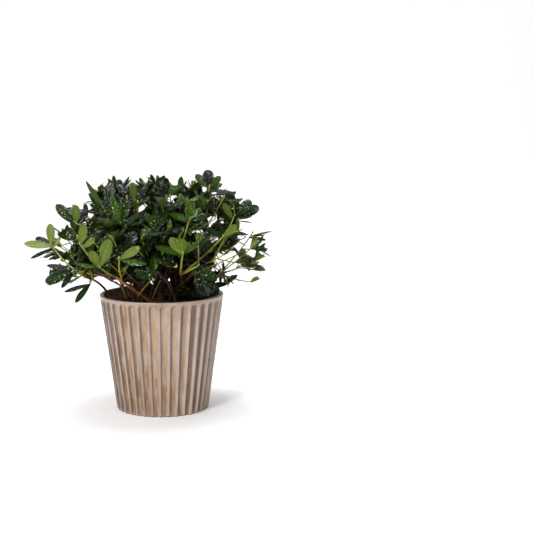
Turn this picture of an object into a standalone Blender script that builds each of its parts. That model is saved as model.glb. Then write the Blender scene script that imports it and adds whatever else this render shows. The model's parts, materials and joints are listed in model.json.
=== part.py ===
"""A potted azalea: a fluted, glazed clay pot full of soil, and the shrub that grows in it.

Metres, +Z up. The origin is the middle of the pot's flat foot. The shrub is one short trunk and two
side stems, a bough to each mass of foliage, and the masses themselves: twigs that branch by a seeded
rule from one stem, with whorls of leaves at their tips.
"""

import math

import bmesh
import bpy
import numpy as np
from mathutils import Matrix, Vector

# The pot
POT_HEIGHT = 0.1264
FOOT_RADIUS = 0.0500
RIM_RADIUS = 0.0675
POT_WALL = 0.0046
POT_FLOOR = 0.0070
LIP_ROUND = 0.0010
FOOT_CHAMFER = 0.0008
FLUTES = 36
FLUTE_SHARE = 0.73
FLUTE_DEPTH = 0.0019
FLUTE_PROUD = 0.0003
RIM_BAND = 0.0030
FLUTE_TURN = math.radians(1.7)
FLUTE_DOME = (90, 52, 20)
FLUTE_OVER = 0.0040
CUTTER_STEPS = 8
SOIL_STEPS = 18

# The soil and the gap that neighbouring solids keep
SOIL_DROP = 0.0130
SOIL_TOP = POT_HEIGHT - SOIL_DROP
CLEARANCE = 0.0003

# Trunk and limbs. The heart is the point that the boughs fan out from.
HEART = np.array((-0.004, 0.0, 0.124))
TRUNK_FLARE_RADIUS = 0.0092
TRUNK_RADIUS = 0.0064
TRUNK_TIP_RADIUS = 0.0050
TRUNK_TOP = 0.1420
TRUNK_LEAN = 0.0030
TRUNK_SIDES = 10
FLARE_FALL = 9.0
BOUGH_RADIUS = 0.0019
BOUGH_TIP_RADIUS = 0.0013
LOW_FORK = 0.1250
HIGH_FORK = 0.1340
FORK_SPLIT = 42.0
BOUGH_POINTS = 5
BOUGH_SIDES = 6
BOUGH_BEND = 0.45
TOP_BOUGH_RISE = 80.0
TOP_BOUGH_BEND = 0.40
STEM_FLARE = 1.7
STEM_BEND = 0.55

# The shares of a mass's reach at which its bough and its own stem end
BOUGH_SHARE = 0.42
STEM_SHARE = 0.58

# Shoots: leaders at places of their own, and the rest dealt over the crown by the golden angle, from the
# top down to the skirt
SHOOTS = 98
LEADER_SPACING = math.radians(8.0)
GOLDEN = math.pi * (3.0 - math.sqrt(5.0))
SKIRT_RISE = 11.0
SKIRT_SWING = 9.0
SKIRT_TURN = 285.0
STRAY = 0.10
TIP_INSET = 0.0230
TIP_DEPTH = 0.0120
SIDE_INSET = 0.0030
UPTURN = 0.50
SWAY = 0.14
REACH_BLEND = 9.0

# Twigs
TWIG_SIDES = 3
STEM_RADIUS = 0.0015
TWIG_RADIUS = 0.0011
TWIG_TIP_RADIUS = 0.0009

# Leaves: a spiral of them down each shoot, from the young inner ones to the old outer ones
SPIRAL_LEAVES = 6
SPIRAL_TILT = (24.0, 74.0)
SPIRAL_LENGTH = (0.0160, 0.0290)
SPIRAL_DEPTH = (0.0002, 0.0062)
OLD_LEAVES = 2
OLD_TILT = (50.0, 78.0)
OLD_LENGTH = (0.0240, 0.0310)
OLD_DEPTH = (0.0085, 0.0160)
LEAF_WIDTH = 0.42
LEAF_WIDEST = 0.60
LEAF_THICKNESS = 0.0009
LEAF_DROOP = (0.06, 0.18)
KEEL = 0.28
ROOT_SINK = 0.0002
BARE_STALK = 0.12

# What is tried in turn for a leaf that has no room: (more tilt, turn round the shoot, share of its length)
TRIES = (
    (0, 0, 1.0), (-12, 0, 0.96), (0, 26, 0.95), (0, -26, 0.95), (-24, 0, 0.92), (-12, 40, 0.90),
    (-12, -40, 0.90), (12, 0, 0.88), (-36, 0, 0.86),
)

# How far a leaf keeps from the next mass's space, from a limb and from the pot
SPACE_GAP = 0.0002
LIMB_GAP = 0.0008
POT_GAP = 0.0015

# The masses: degrees round from +X, degrees up from the heart, reach to the leaf tips, and seed
MASSES = {
    "left": (181, 24, 0.149, 233),
    "left_front": (218, 20, 0.145, 309),
    "front_left": (241, 28, 0.134, 854),
    "front": (277, 33, 0.132, 420),
    "front_right": (319, 28, 0.130, 304),
    "right": (6, 17, 0.135, 354),
    "back_right": (39, 30, 0.148, 135),
    "back": (97, 23, 0.136, 803),
    "back_left": (138, 24, 0.150, 941),
    "upper_left": (173, 55, 0.166, 862),
    "upper_front_left": (221, 65, 0.154, 965),
    "upper_front_right": (314, 64, 0.150, 754),
    "upper_right": (3, 52, 0.165, 290),
    "upper_back_right": (57, 55, 0.153, 119),
    "upper_back_left": (123, 56, 0.142, 815),
    "top": (99, 85, 0.129, 251),
}

# The shoots that stand out on the crown's front and outline: degrees round, degrees up and how far out
LEADERS = {
    "far_left": (183, 26, 0.127),
    "left": (178, 40, 0.118),
    "left_top": (205, 58, 0.110),
    "top_left": (215, 75, 0.108),
    "low_left": (217, 20, 0.110),
    "hanging_left": (231, 14, 0.103),
    "pale_left": (213, 34, 0.110),
    "pale_front": (235, 24, 0.102),
    "front_left": (238, 53, 0.104),
    "front_low_left": (247, 31, 0.098),
    "top_middle": (310, 80, 0.110),
    "top_right_middle": (318, 69, 0.107),
    "highest": (12, 64, 0.130),
    "bright": (308, 55, 0.107),
    "middle": (273, 51, 0.101),
    "bright_low": (293, 34, 0.100),
    "right_top": (340, 60, 0.112),
    "right": (2, 46, 0.120),
    "right_middle": (332, 40, 0.107),
    "right_lowest": (327, 16, 0.106),
    "front_low_right": (303, 26, 0.098),
}

# The masses whose bough is a stem of its own, and where that stem leaves the soil
SIDE_STEMS = {
    "front": (0.018, -0.040),
    "left_front": (-0.026, -0.025),
}

UP = np.array((0.0, 0.0, 1.0))


def unit(vector):
    return vector / np.linalg.norm(vector)


def heading(round_degrees, up_degrees):
    """The unit vector at these angles, round from +X and up from level."""
    turn = math.radians(round_degrees)
    rise = math.radians(up_degrees)
    return np.array((math.cos(rise) * math.cos(turn), math.cos(rise) * math.sin(turn), math.sin(rise)))


def square_pair(axis):
    """Two unit vectors square to the axis and to each other."""
    helper = UP if abs(axis[2]) < 0.95 else np.array((1.0, 0.0, 0.0))
    side = unit(np.cross(helper, axis))
    return side, np.cross(axis, side)


def trunk_axis(height):
    """The trunk's middle at a height: upright at the soil, then leaning towards the heart."""
    share = np.clip((height - SOIL_TOP) / (TRUNK_TOP - SOIL_TOP), 0.0, 1.0)
    return np.array((HEART[0] + TRUNK_LEAN * (1.0 - share) ** 2, HEART[1], height))


def trunk_radius(height):
    """Flared at the soil, then an even taper to the fork."""
    share = np.clip((height - SOIL_TOP) / (TRUNK_TOP - SOIL_TOP), 0.0, 1.0)
    flare = (TRUNK_FLARE_RADIUS - TRUNK_RADIUS) * math.exp(-FLARE_FALL * share)
    return TRUNK_RADIUS + (TRUNK_TIP_RADIUS - TRUNK_RADIUS) * share + flare


def bend(start, middle, end, count):
    """Points along a parabola that leaves start towards middle and arrives at end from it."""
    t = np.linspace(0.0, 1.0, count)[:, None]
    return (1 - t) ** 2 * start + 2 * t * (1 - t) * middle + t**2 * end


def limb_of(name):
    """(points, radii) of the bough or side stem that carries a mass."""
    turn, rise, reach, _ = MASSES[name]
    end = HEART + heading(turn, rise) * reach * BOUGH_SHARE
    radii = np.linspace(BOUGH_RADIUS, BOUGH_TIP_RADIUS, BOUGH_POINTS)
    if name in SIDE_STEMS:
        foot = np.array((*SIDE_STEMS[name], SOIL_TOP + CLEARANCE))
        middle = foot + UP * STEM_BEND * (end[2] - foot[2])
        points = bend(foot, middle, end, BOUGH_POINTS)
        points[1, :2] = foot[:2]
        radii[0] *= STEM_FLARE
        return points, radii
    if rise > TOP_BOUGH_RISE:
        start = trunk_axis(TRUNK_TOP) + UP * CLEARANCE
        return bend(start, start + UP * TOP_BOUGH_BEND * (end[2] - start[2]), end, BOUGH_POINTS), radii
    height = LOW_FORK if rise < FORK_SPLIT else HIGH_FORK
    leaving = heading(turn, 0.55 * rise + 4.0)
    out = trunk_radius(height) + CLEARANCE + BOUGH_RADIUS * leaving[2]
    start = trunk_axis(height) + heading(turn, 0.0) * out
    middle = start + leaving * BOUGH_BEND * np.linalg.norm(end - start)
    return bend(start, middle, end, BOUGH_POINTS), radii


def clear_of_limbs(points, limbs):
    """Whether every point keeps its gap from every limb."""
    for path, radii in limbs:
        starts, spans = path[:-1], np.diff(path, axis=0)
        along = ((points[:, None] - starts) * spans).sum(axis=2) / (spans**2).sum(axis=1)
        nearest = starts + np.clip(along, 0.0, 1.0)[..., None] * spans
        if (np.linalg.norm(points[:, None] - nearest, axis=2) < radii[:-1] + LIMB_GAP).any():
            return False
    return True


def reach_towards(ways):
    """How far the crown reaches in these directions: the masses' own reaches, blended by nearness."""
    headings = np.array([heading(turn, rise) for turn, rise, _, _ in MASSES.values()])
    reaches = np.array([reach for _, _, reach, _ in MASSES.values()])
    weights = np.exp(REACH_BLEND * ways @ headings.T)
    return weights @ reaches / weights.sum(axis=1)


def room(points, name):
    """How far the nearest of the points lies inside the mass's own space. Below zero is outside.

    The space is all that lies nearer in direction, seen from the heart, to this mass than to another."""
    own = heading(*MASSES[name][:2])
    away = points - HEART
    sides = [unit(own - heading(*row[:2])) for other, row in MASSES.items() if other != name]
    return (away @ np.array(sides).T).min()


def in_space(points, name, limit):
    """Whether the points keep to the mass's own space, and within a distance of the heart."""
    return room(points, name) > SPACE_GAP and np.linalg.norm(points - HEART, axis=1).max() < limit


def clear_of_pot(points):
    """Whether no point is inside the pot or close to its rim."""
    near = np.hypot(points[:, 0], points[:, 1]) < RIM_RADIUS + POT_GAP
    return not (near & (points[:, 2] < POT_HEIGHT + POT_GAP)).any()


def leaf_corners(leaf):
    """A leaf's five corners: root, the two sides, the keel under its midrib and the tip."""
    root, along, normal, length, droop = leaf
    across = np.cross(normal, along)
    middle = root + along * LEAF_WIDEST * length - normal * LEAF_WIDEST**2 * droop * length
    half = across * LEAF_WIDTH * length / 2
    keel = root + along * KEEL * length - normal * (KEEL**2 * droop * length + LEAF_THICKNESS)
    tip = root + along * length - normal * droop * length
    return np.array((root, middle + half, middle - half, keel, tip))


LEAF_FACES = ((0, 2, 1), (1, 2, 4), (0, 1, 3), (1, 4, 3), (4, 2, 3), (2, 0, 3))
BLADE_FACES = ((0, 2, 1), (1, 2, 4))
BLADE_EDGES = ((0, 1), (0, 2), (1, 2), (1, 4), (2, 4), (0, 4))


def blade_of(corners):
    """The corners with the root moved up the blade, past the part that sinks into the shoot."""
    blade = corners.copy()
    blade[0] += BARE_STALK * (corners[4] - corners[0])
    return blade


def leaf_samples(corners):
    """The corners past the root, and points along each edge."""
    starts = np.array([corners[a] for a, _ in BLADE_EDGES])
    ends = np.array([corners[b] for _, b in BLADE_EDGES])
    inner = [starts + (ends - starts) * share for share in (0.3, 0.5, 0.75)]
    return np.concatenate((corners[1:], *inner))


def meets(starts, spans, triangles):
    """Whether any of the straight lines, each a start and a span, passes through any of the triangles."""
    if not len(starts) or not len(triangles):
        return False
    first = triangles[:, 1] - triangles[:, 0]
    second = triangles[:, 2] - triangles[:, 0]
    across = np.cross(spans[:, None], second[None])
    scale = (first[None] * across).sum(axis=2)
    scale = np.where(np.abs(scale) < 1e-18, 1e-18, scale)
    gap = starts[:, None] - triangles[None, :, 0]
    u = (gap * across).sum(axis=2) / scale
    turned_gap = np.cross(gap, first[None])
    v = (spans[:, None] * turned_gap).sum(axis=2) / scale
    t = (second[None] * turned_gap).sum(axis=2) / scale
    return bool(((u >= 0) & (v >= 0) & (u + v <= 1) & (t >= 0) & (t <= 1)).any())


class Thicket:
    """The limbs, twigs and blades so far, and whether one more blade would cut through them."""

    def __init__(self, rods, limbs):
        self.starts = np.array([rod[0] for rod in rods] + [p for path, _ in limbs for p in path[:-1]])
        ends = np.array([rod[1] for rod in rods] + [p for path, _ in limbs for p in path[1:]])
        self.spans = ends - self.starts
        self.blades = np.zeros((0, 3, 3))

    def parts(self, blade):
        """A blade's triangles, and the starts and spans of its edges."""
        starts = np.array([blade[a] for a, _ in BLADE_EDGES])
        ends = np.array([blade[b] for _, b in BLADE_EDGES])
        return np.array([[blade[i] for i in face] for face in BLADE_FACES]), starts, ends - starts

    def takes(self, blade):
        triangles, starts, spans = self.parts(blade)
        if meets(self.starts, self.spans, triangles):
            return False
        return not meets(starts, spans, self.blades)

    def add(self, blade):
        triangles, starts, spans = self.parts(blade)
        self.blades = np.concatenate((self.blades, triangles))
        self.starts = np.concatenate((self.starts, starts))
        self.spans = np.concatenate((self.spans, spans))


def all_shoots():
    """The directions of all shoots from the heart, and how far out the leaders end, with 0 for the rest."""
    number = np.arange(SHOOTS)
    turns = number * GOLDEN
    skirt = SKIRT_RISE + SKIRT_SWING * np.cos(turns - math.radians(SKIRT_TURN))
    low = np.sin(np.radians(skirt))
    heights = 1.0 - (1.0 - low) * (number + 0.5) / SHOOTS
    level = np.sqrt(1.0 - heights**2)
    fan = np.stack((level * np.cos(turns), level * np.sin(turns), heights), axis=1)
    leaders = np.array([heading(turn, rise) for turn, rise, _ in LEADERS.values()])
    fan = fan[(fan @ leaders.T).max(axis=1) < math.cos(LEADER_SPACING)]
    distances = [distance for _, _, distance in LEADERS.values()] + [0.0] * len(fan)
    return np.concatenate((leaders, fan)), np.array(distances)


def mass_shoots(name):
    """(direction, distance) of the shoots that lie nearest to this mass, the middle ones first."""
    headings = np.array([heading(turn, rise) for turn, rise, _, _ in MASSES.values()])
    own = list(MASSES).index(name)
    ways, distances = all_shoots()
    nearness = ways @ headings.T
    chosen = np.flatnonzero(nearness.argmax(axis=1) == own)
    return [(ways[i], distances[i]) for i in sorted(chosen, key=lambda i: -nearness[i, own])]


def leaf_at(root, axis, tilt, roll, length, droop, twist):
    """(root, direction, upper side, length, droop) of a leaf at these angles to its shoot."""
    side, over = square_pair(axis)
    spread = math.cos(roll) * side + math.sin(roll) * over
    along = math.cos(tilt) * axis + math.sin(tilt) * spread
    normal = math.sin(tilt) * axis - math.cos(tilt) * spread
    normal = math.cos(twist) * normal + math.sin(twist) * np.cross(along, normal)
    return root - along * ROOT_SINK, along, normal, length, droop


def leaf_in_room(rng, name, limbs, thicket, limit, root, axis, tilt, roll, length):
    """The first of the tries for this leaf that keeps to its space and cuts through nothing, or None."""
    droop = rng.uniform(*LEAF_DROOP)
    twist = rng.uniform(-0.35, 0.35)
    for more_tilt, turn, share in TRIES:
        angle = math.radians(max(tilt + more_tilt, 8.0))
        leaf = leaf_at(root, axis, angle, roll + math.radians(turn), length * share, droop, twist)
        corners = leaf_corners(leaf)
        points = leaf_samples(corners)
        blade = blade_of(corners)
        fits = in_space(points, name, limit) and clear_of_pot(points) and clear_of_limbs(points, limbs)
        if fits and thicket.takes(blade):
            thicket.add(blade)
            return leaf
    return None


def shoot_leaves(rng, name, limbs, thicket, start, tip, axis, limit):
    """The leaves of one shoot, each a golden angle on from the one above it."""
    roll = rng.uniform(0.0, 2 * math.pi)
    found = []
    for number in range(SPIRAL_LEAVES + OLD_LEAVES):
        roll += GOLDEN + rng.uniform(-0.2, 0.2)
        share = min(number / (SPIRAL_LEAVES - 1), 1.0)
        draws = rng.uniform(size=3)
        if number < SPIRAL_LEAVES:
            tilt = SPIRAL_TILT[0] + (SPIRAL_TILT[1] - SPIRAL_TILT[0]) * share**0.8 + 16.0 * (draws[0] - 0.5)
            length = SPIRAL_LENGTH[0] + (SPIRAL_LENGTH[1] - SPIRAL_LENGTH[0]) * share**0.7
            length *= 0.88 + 0.24 * draws[1]
            depth = SPIRAL_DEPTH[0] + (SPIRAL_DEPTH[1] - SPIRAL_DEPTH[0]) * share
        else:
            tilt = OLD_TILT[0] + (OLD_TILT[1] - OLD_TILT[0]) * draws[0]
            length = OLD_LENGTH[0] + (OLD_LENGTH[1] - OLD_LENGTH[0]) * draws[1]
            depth = OLD_DEPTH[0] + (OLD_DEPTH[1] - OLD_DEPTH[0]) * draws[2]
        root = tip + unit(start - tip) * depth
        leaf = leaf_in_room(rng, name, limbs, thicket, limit, root, axis, tilt, roll, length)
        if leaf:
            found.append(leaf)
    return found


def grown(name, limbs):
    """(rods, leaves) of one mass. A rod is (start, end, start radius, end radius); the first is the stem."""
    turn, rise, reach, seed = MASSES[name]
    rng = np.random.default_rng(seed)
    way = heading(turn, rise)
    path = limbs[list(MASSES).index(name)][0]
    onward = unit(path[-1] - path[-2])
    stem_start = path[-1] + onward * CLEARANCE
    stem_end = stem_start + onward * reach * (STEM_SHARE - BOUGH_SHARE)
    rods = [(stem_start, stem_end, STEM_RADIUS, TWIG_RADIUS)]
    tips = []
    shoots = mass_shoots(name)
    for number, (toward, distance) in enumerate(shoots):
        stray = rng.uniform(-STRAY, STRAY, 3)
        inset = TIP_INSET + TIP_DEPTH * rng.uniform()
        sway = rng.uniform(-SWAY, SWAY, 3)
        if not distance:
            toward = unit(toward + stray)
            distance = reach_towards(toward[None])[0] - inset
        while room((HEART + toward * distance)[None], name) < SIDE_INSET:
            toward = unit(toward + 0.05 * way)
        tip = HEART + toward * distance
        start = stem_start + (stem_end - stem_start) * (1.0 - 0.8 * number / len(shoots))
        points = np.linspace(start, tip, 25)[2:]
        if room(points, name) > TWIG_RADIUS and clear_of_pot(points) and clear_of_limbs(points, limbs):
            rods.append((start, tip, TWIG_RADIUS, TWIG_TIP_RADIUS))
            tips.append((start, tip, unit((1 - UPTURN) * toward + UPTURN * UP + sway), distance + inset))
    thicket = Thicket(rods, limbs)
    leaves = []
    for start, tip, axis, limit in tips:
        leaves.extend(shoot_leaves(rng, name, limbs, thicket, start, tip, axis, limit))
    return rods, leaves


def clear_scene():
    for thing in list(bpy.data.objects):
        bpy.data.objects.remove(thing, do_unlink=True)
    for group in list(bpy.data.collections):
        bpy.data.collections.remove(group)


def new_collection(name):
    group = bpy.data.collections.new(name)
    bpy.context.scene.collection.children.link(group)
    return group


def new_material(name, colour, roughness, metallic=0.0):
    material = bpy.data.materials.new(name)
    material.use_nodes = True
    shader = material.node_tree.nodes["Principled BSDF"]
    shader.inputs["Base Color"].default_value = (*colour, 1.0)
    shader.inputs["Roughness"].default_value = roughness
    shader.inputs["Metallic"].default_value = metallic
    return material


def mesh_of(thing):
    """The object's evaluated mesh, with loose caps welded."""
    graph = bpy.context.evaluated_depsgraph_get()
    mesh = bpy.data.meshes.new_from_object(thing.evaluated_get(graph))
    work = bmesh.new()
    work.from_mesh(mesh)
    bmesh.ops.remove_doubles(work, verts=work.verts, dist=1e-6)
    work.to_mesh(mesh)
    work.free()
    return mesh


def turned(name, profile, steps, group):
    """A profile in the XZ plane, given as (radius, height) pairs, turned round the Z axis."""
    mesh = bpy.data.meshes.new(name)
    points = [(radius, 0.0, height) for radius, height in profile]
    mesh.from_pydata(points, [(i, i + 1) for i in range(len(points) - 1)], [])
    thing = bpy.data.objects.new(name, mesh)
    group.objects.link(thing)
    screw = thing.modifiers.new("turn", "SCREW")
    screw.steps = steps
    screw.render_steps = steps
    screw.use_merge_vertices = True
    screw.merge_threshold = 0.00005
    screw.use_smooth_shade = True
    return thing


def outer_radius(height):
    """The pot's outside between its foot and its rim."""
    return FOOT_RADIUS + (RIM_RADIUS - FOOT_RADIUS) * height / POT_HEIGHT


def flute_cutter():
    """The mesh that cuts one flute at azimuth zero: a tapered round-ended rod, flattened across the wall."""
    slope = math.atan2(RIM_RADIUS - FOOT_RADIUS, POT_HEIGHT)
    wall_length = math.hypot(RIM_RADIUS - FOOT_RADIUS, POT_HEIGHT)
    half_width = math.pi * FLUTE_SHARE / FLUTES
    top_half = half_width * outer_radius(POT_HEIGHT - RIM_BAND)
    low_half = half_width * outer_radius(0.0)
    taper = (top_half - low_half) / wall_length
    end = wall_length - RIM_BAND - top_half
    profile = [(top_half * math.cos(math.radians(a)), end + top_half * math.sin(math.radians(a)))
               for a in FLUTE_DOME]
    profile += [(top_half, end), (low_half - taper * FLUTE_OVER, -FLUTE_OVER), (0.0, -FLUTE_OVER)]
    profile[0] = (0.0, profile[0][1])
    guide = turned("flute_guide", profile, CUTTER_STEPS, bpy.context.scene.collection)
    mesh = mesh_of(guide)
    bpy.data.objects.remove(guide)
    flatten = Matrix.Scale((FLUTE_DEPTH + FLUTE_PROUD) / top_half, 4, Vector((1, 0, 0)))
    tilt = Matrix.Rotation(slope, 4, "Y")
    place = Matrix.Translation((FOOT_RADIUS + FLUTE_PROUD, 0, 0))
    mesh.transform(place @ tilt @ flatten)
    return mesh


def make_pot(group, cutters, material):
    """A turned clay pot with an open top and a flat foot, its outside cut by rounded flutes."""
    inner_foot = outer_radius(POT_FLOOR) - POT_WALL
    inner_rim = RIM_RADIUS - POT_WALL
    profile = [(0.0, POT_FLOOR), (inner_foot - LIP_ROUND * 3, POT_FLOOR), (inner_foot, POT_FLOOR + LIP_ROUND * 3)]
    profile += [(inner_rim, POT_HEIGHT - LIP_ROUND), (inner_rim + LIP_ROUND, POT_HEIGHT)]
    profile += [(RIM_RADIUS - LIP_ROUND, POT_HEIGHT), (RIM_RADIUS, POT_HEIGHT - LIP_ROUND)]
    profile += [(FOOT_RADIUS, FOOT_CHAMFER), (FOOT_RADIUS - FOOT_CHAMFER, 0.0), (0.0, 0.0)]
    pot = turned("pot", profile, FLUTES, group)
    period = 2 * math.pi / FLUTES
    first_ridge = -math.pi / 2 + FLUTE_TURN
    pot.rotation_euler.z = first_ridge
    cutter_mesh = flute_cutter()
    for number in range(FLUTES):
        cutter = bpy.data.objects.new(f"flute_{number:02d}", cutter_mesh)
        cutter.rotation_euler.z = first_ridge + (number + 0.5) * period
        cutter.hide_render = True
        cutter.display_type = "WIRE"
        cutters.objects.link(cutter)
    cut = pot.modifiers.new("flutes", "BOOLEAN")
    cut.operation = "DIFFERENCE"
    cut.operand_type = "COLLECTION"
    cut.collection = cutters
    cut.solver = "EXACT"
    pot.data.materials.append(material)
    return pot


def make_soil(group, material):
    """The soil that fills the pot, a gap clear of its wall and floor."""
    gap = POT_WALL + CLEARANCE * 2
    foot = POT_FLOOR + CLEARANCE
    low = foot + LIP_ROUND * 3
    radius = outer_radius(low) - gap
    profile = [(0.0, SOIL_TOP), (outer_radius(SOIL_TOP) - gap, SOIL_TOP), (radius, low)]
    profile += [(radius - LIP_ROUND * 3, foot), (0.0, foot)]
    soil = turned("soil", profile, SOIL_STEPS, group)
    soil.rotation_euler.z = -math.pi / 2 + FLUTE_TURN
    soil.data.materials.append(material)
    return soil


def make_limb(name, points, radii, sides, group, material):
    """A tapering limb: a curve through the points, thickened by the radii, with flat ends."""
    curve = bpy.data.curves.new(name, "CURVE")
    curve.dimensions = "3D"
    curve.bevel_depth = float(radii[0])
    curve.bevel_resolution = (sides - 4) // 2
    curve.use_fill_caps = True
    spline = curve.splines.new("POLY")
    spline.points.add(len(points) - 1)
    for target, point, radius in zip(spline.points, points, radii):
        target.co = (*point, 1.0)
        target.radius = float(radius / radii[0])
    curve.materials.append(material)
    limb = bpy.data.objects.new(name, curve)
    group.objects.link(limb)
    return limb


def make_trunk(group, material):
    """The short trunk, from its flat cut at the soil to the fork."""
    foot = SOIL_TOP + CLEARANCE
    heights = np.concatenate(([foot, foot + 0.001], np.linspace(foot + 0.004, TRUNK_TOP, 5)))
    points = np.array([trunk_axis(height) for height in heights])
    points[1, :2] = points[0, :2]
    radii = np.array([trunk_radius(height) for height in heights])
    return make_limb("trunk", points, radii, TRUNK_SIDES, group, material)


def rod_mesh(start, end, start_radius, end_radius):
    """A straight three-sided twig between two points."""
    start, end = Vector(start), Vector(end)
    span = end - start
    place = Matrix.Translation((start + end) / 2) @ span.to_track_quat("Z", "Y").to_matrix().to_4x4()
    mesh = bpy.data.meshes.new("rod")
    work = bmesh.new()
    bmesh.ops.create_cone(
        work,
        cap_ends=True,
        segments=TWIG_SIDES,
        radius1=start_radius,
        radius2=end_radius,
        depth=span.length,
        matrix=place,
    )
    work.to_mesh(mesh)
    work.free()
    return mesh


def leaf_mesh(leaf):
    mesh = bpy.data.meshes.new("leaf")
    mesh.from_pydata([tuple(corner) for corner in leaf_corners(leaf)], [], LEAF_FACES)
    return mesh


def keep_main_body(mesh):
    """Drops every loose scrap, and fills a sealed hollow by dropping its inner skin."""
    work = bmesh.new()
    work.from_mesh(mesh)
    unseen = set(work.faces)
    bodies = []
    while unseen:
        start = unseen.pop()
        body = {start}
        front = [start]
        while front:
            edges = {edge for face in front for edge in face.edges if len(edge.link_faces) == 2}
            linked = {near for edge in edges for near in edge.link_faces}
            front = list(linked - body)
            body |= linked
        unseen -= body
        bodies.append(body)
    main = max(bodies, key=len)
    bmesh.ops.delete(work, geom=[face for face in work.faces if face not in main], context="FACES")
    work.to_mesh(mesh)
    work.free()


def make_mass(name, limbs, group, material):
    """One mass of foliage, its stem, twigs and leaves joined into one solid."""
    rods, leaves = grown(name, limbs)
    stem = bpy.data.objects.new("foliage_" + name, rod_mesh(*rods[0]))
    group.objects.link(stem)
    pieces = new_collection("pieces_" + name)
    for start, end, start_radius, end_radius in rods[1:]:
        sunk = start - unit(end - start) * start_radius * 0.6
        pieces.objects.link(bpy.data.objects.new("twig", rod_mesh(sunk, end, start_radius, end_radius)))
    for leaf in leaves:
        pieces.objects.link(bpy.data.objects.new("leaf", leaf_mesh(leaf)))
    join = stem.modifiers.new("join", "BOOLEAN")
    join.operation = "UNION"
    join.operand_type = "COLLECTION"
    join.collection = pieces
    join.solver = "EXACT"
    joined = mesh_of(stem)
    stem.modifiers.clear()
    stem.data = joined
    keep_main_body(joined)
    for piece in list(pieces.objects):
        bpy.data.objects.remove(piece, do_unlink=True)
    bpy.data.collections.remove(pieces)
    joined.materials.clear()
    joined.materials.append(material)


def main():
    clear_scene()
    plant = new_collection("potted_azalea")
    cutters = new_collection("flute_cutters")
    glaze = new_material("pot_glaze", (0.40, 0.31, 0.24), 0.38)
    peat = new_material("soil_peat", (0.030, 0.020, 0.014), 0.95)
    bark = new_material("bark", (0.20, 0.085, 0.045), 0.75)
    leaf = new_material("leaf_green", (0.030, 0.085, 0.018), 0.30)
    make_pot(plant, cutters, glaze)
    make_soil(plant, peat)
    make_trunk(plant, bark)
    limbs = [limb_of(name) for name in MASSES]
    for name, (points, radii) in zip(MASSES, limbs):
        kind = "stem_" if name in SIDE_STEMS else "bough_"
        make_limb(kind + name, points, radii, BOUGH_SIDES, plant, bark)
    for name in MASSES:
        make_mass(name, limbs, plant, leaf)


main()
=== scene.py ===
"""The looks of a potted azalea: a fluted, glazed pot and a shrub whose twigs, leaves and buds grow by rule.

Metres, +Z up. The origin is the middle of the pot's flat foot, and the photographed side faces -Y. Every
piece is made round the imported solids, which stay where they are. The rule that grows the twigs and the
first leaves of each shoot is the one that made the solids, with the same seeds, so each whorl of leaves
here sits where the solids have one, and it is then carried on to side shoots, more leaves and buds.
"""

import json
import math

import bmesh
import bpy
import numpy as np
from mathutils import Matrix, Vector

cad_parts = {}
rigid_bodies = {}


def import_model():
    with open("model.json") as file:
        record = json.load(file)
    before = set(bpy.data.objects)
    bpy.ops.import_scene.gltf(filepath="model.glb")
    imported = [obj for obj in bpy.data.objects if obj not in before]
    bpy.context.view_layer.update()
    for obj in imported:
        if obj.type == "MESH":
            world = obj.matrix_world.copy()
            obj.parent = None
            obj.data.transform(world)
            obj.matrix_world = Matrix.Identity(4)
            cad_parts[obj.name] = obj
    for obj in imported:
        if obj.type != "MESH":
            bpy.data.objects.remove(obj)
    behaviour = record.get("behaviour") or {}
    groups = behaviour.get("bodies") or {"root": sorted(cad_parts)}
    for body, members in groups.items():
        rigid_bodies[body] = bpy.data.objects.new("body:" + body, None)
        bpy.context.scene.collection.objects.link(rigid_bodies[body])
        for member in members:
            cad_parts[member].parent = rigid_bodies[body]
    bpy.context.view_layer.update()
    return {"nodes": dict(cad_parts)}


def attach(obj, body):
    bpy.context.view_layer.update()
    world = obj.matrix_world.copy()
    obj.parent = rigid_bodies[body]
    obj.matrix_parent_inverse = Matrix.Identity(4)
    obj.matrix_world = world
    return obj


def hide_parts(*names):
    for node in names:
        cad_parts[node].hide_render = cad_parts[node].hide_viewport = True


bl_info = {
    "name": "Potted Azalea",
    "version": (1, 0, 0),
    "blender": (4, 5, 0),
    "location": "View3D > Sidebar > Azalea",
    "description": "Builds a glossy-leaved azalea in a fluted glazed pot",
    "category": "Add Mesh",
}

for leftover in list(bpy.data.objects):
    bpy.data.objects.remove(leftover, do_unlink=True)

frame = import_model()
BODY = "root"
LIMB_NODES = [name for name in frame["nodes"] if name.startswith(("bough_", "stem_"))]
FOLIAGE_NODES = [name for name in frame["nodes"] if name.startswith("foliage_")]

MILLIMETRE = 0.001

# The pot
POT_HEIGHT = 0.1264
FOOT_RADIUS = 0.0500
RIM_RADIUS = 0.0675
POT_WALL = 0.0046
POT_FLOOR = 0.0070
LIP_ROUND = 0.0012
FOOT_CHAMFER = 0.0008
FLUTES = 36
FLUTE_SHARE = 0.73
FLUTE_DEPTH = 0.0023
RIM_BAND = 0.0030
FLUTE_TURN = math.radians(1.7)
RIDGE_CROWN = 0.0003
FLUTE_RUNOUT = 0.0020
BOWL_POWERS = (2.6, 0.62)
DOME_TIP = 0.16

# The mark of a flute's walls, where patina and painted shade go: its power, its share on the right wall,
# which the light falls on, and its values over the ridge
WALL_POWER = 0.6
RIGHT_WALL = 0.4
RIDGE_MARKS = (0.1, 0.15, 0.75)

# The soil and the gap that neighbouring solids keep
SOIL_DROP = 0.0130
SOIL_TOP = POT_HEIGHT - SOIL_DROP
CLEARANCE = 0.0003
SOIL_RADIUS = 0.0610

# The photograph's camera
CAMERA_PLACE = (0.1141, -1.3927, 0.3492)
CAMERA_TURN = (1.4327, 0.0, 0.0)
CAMERA_LENS = 87.39
CAMERA_SENSOR = 36.0

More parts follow.
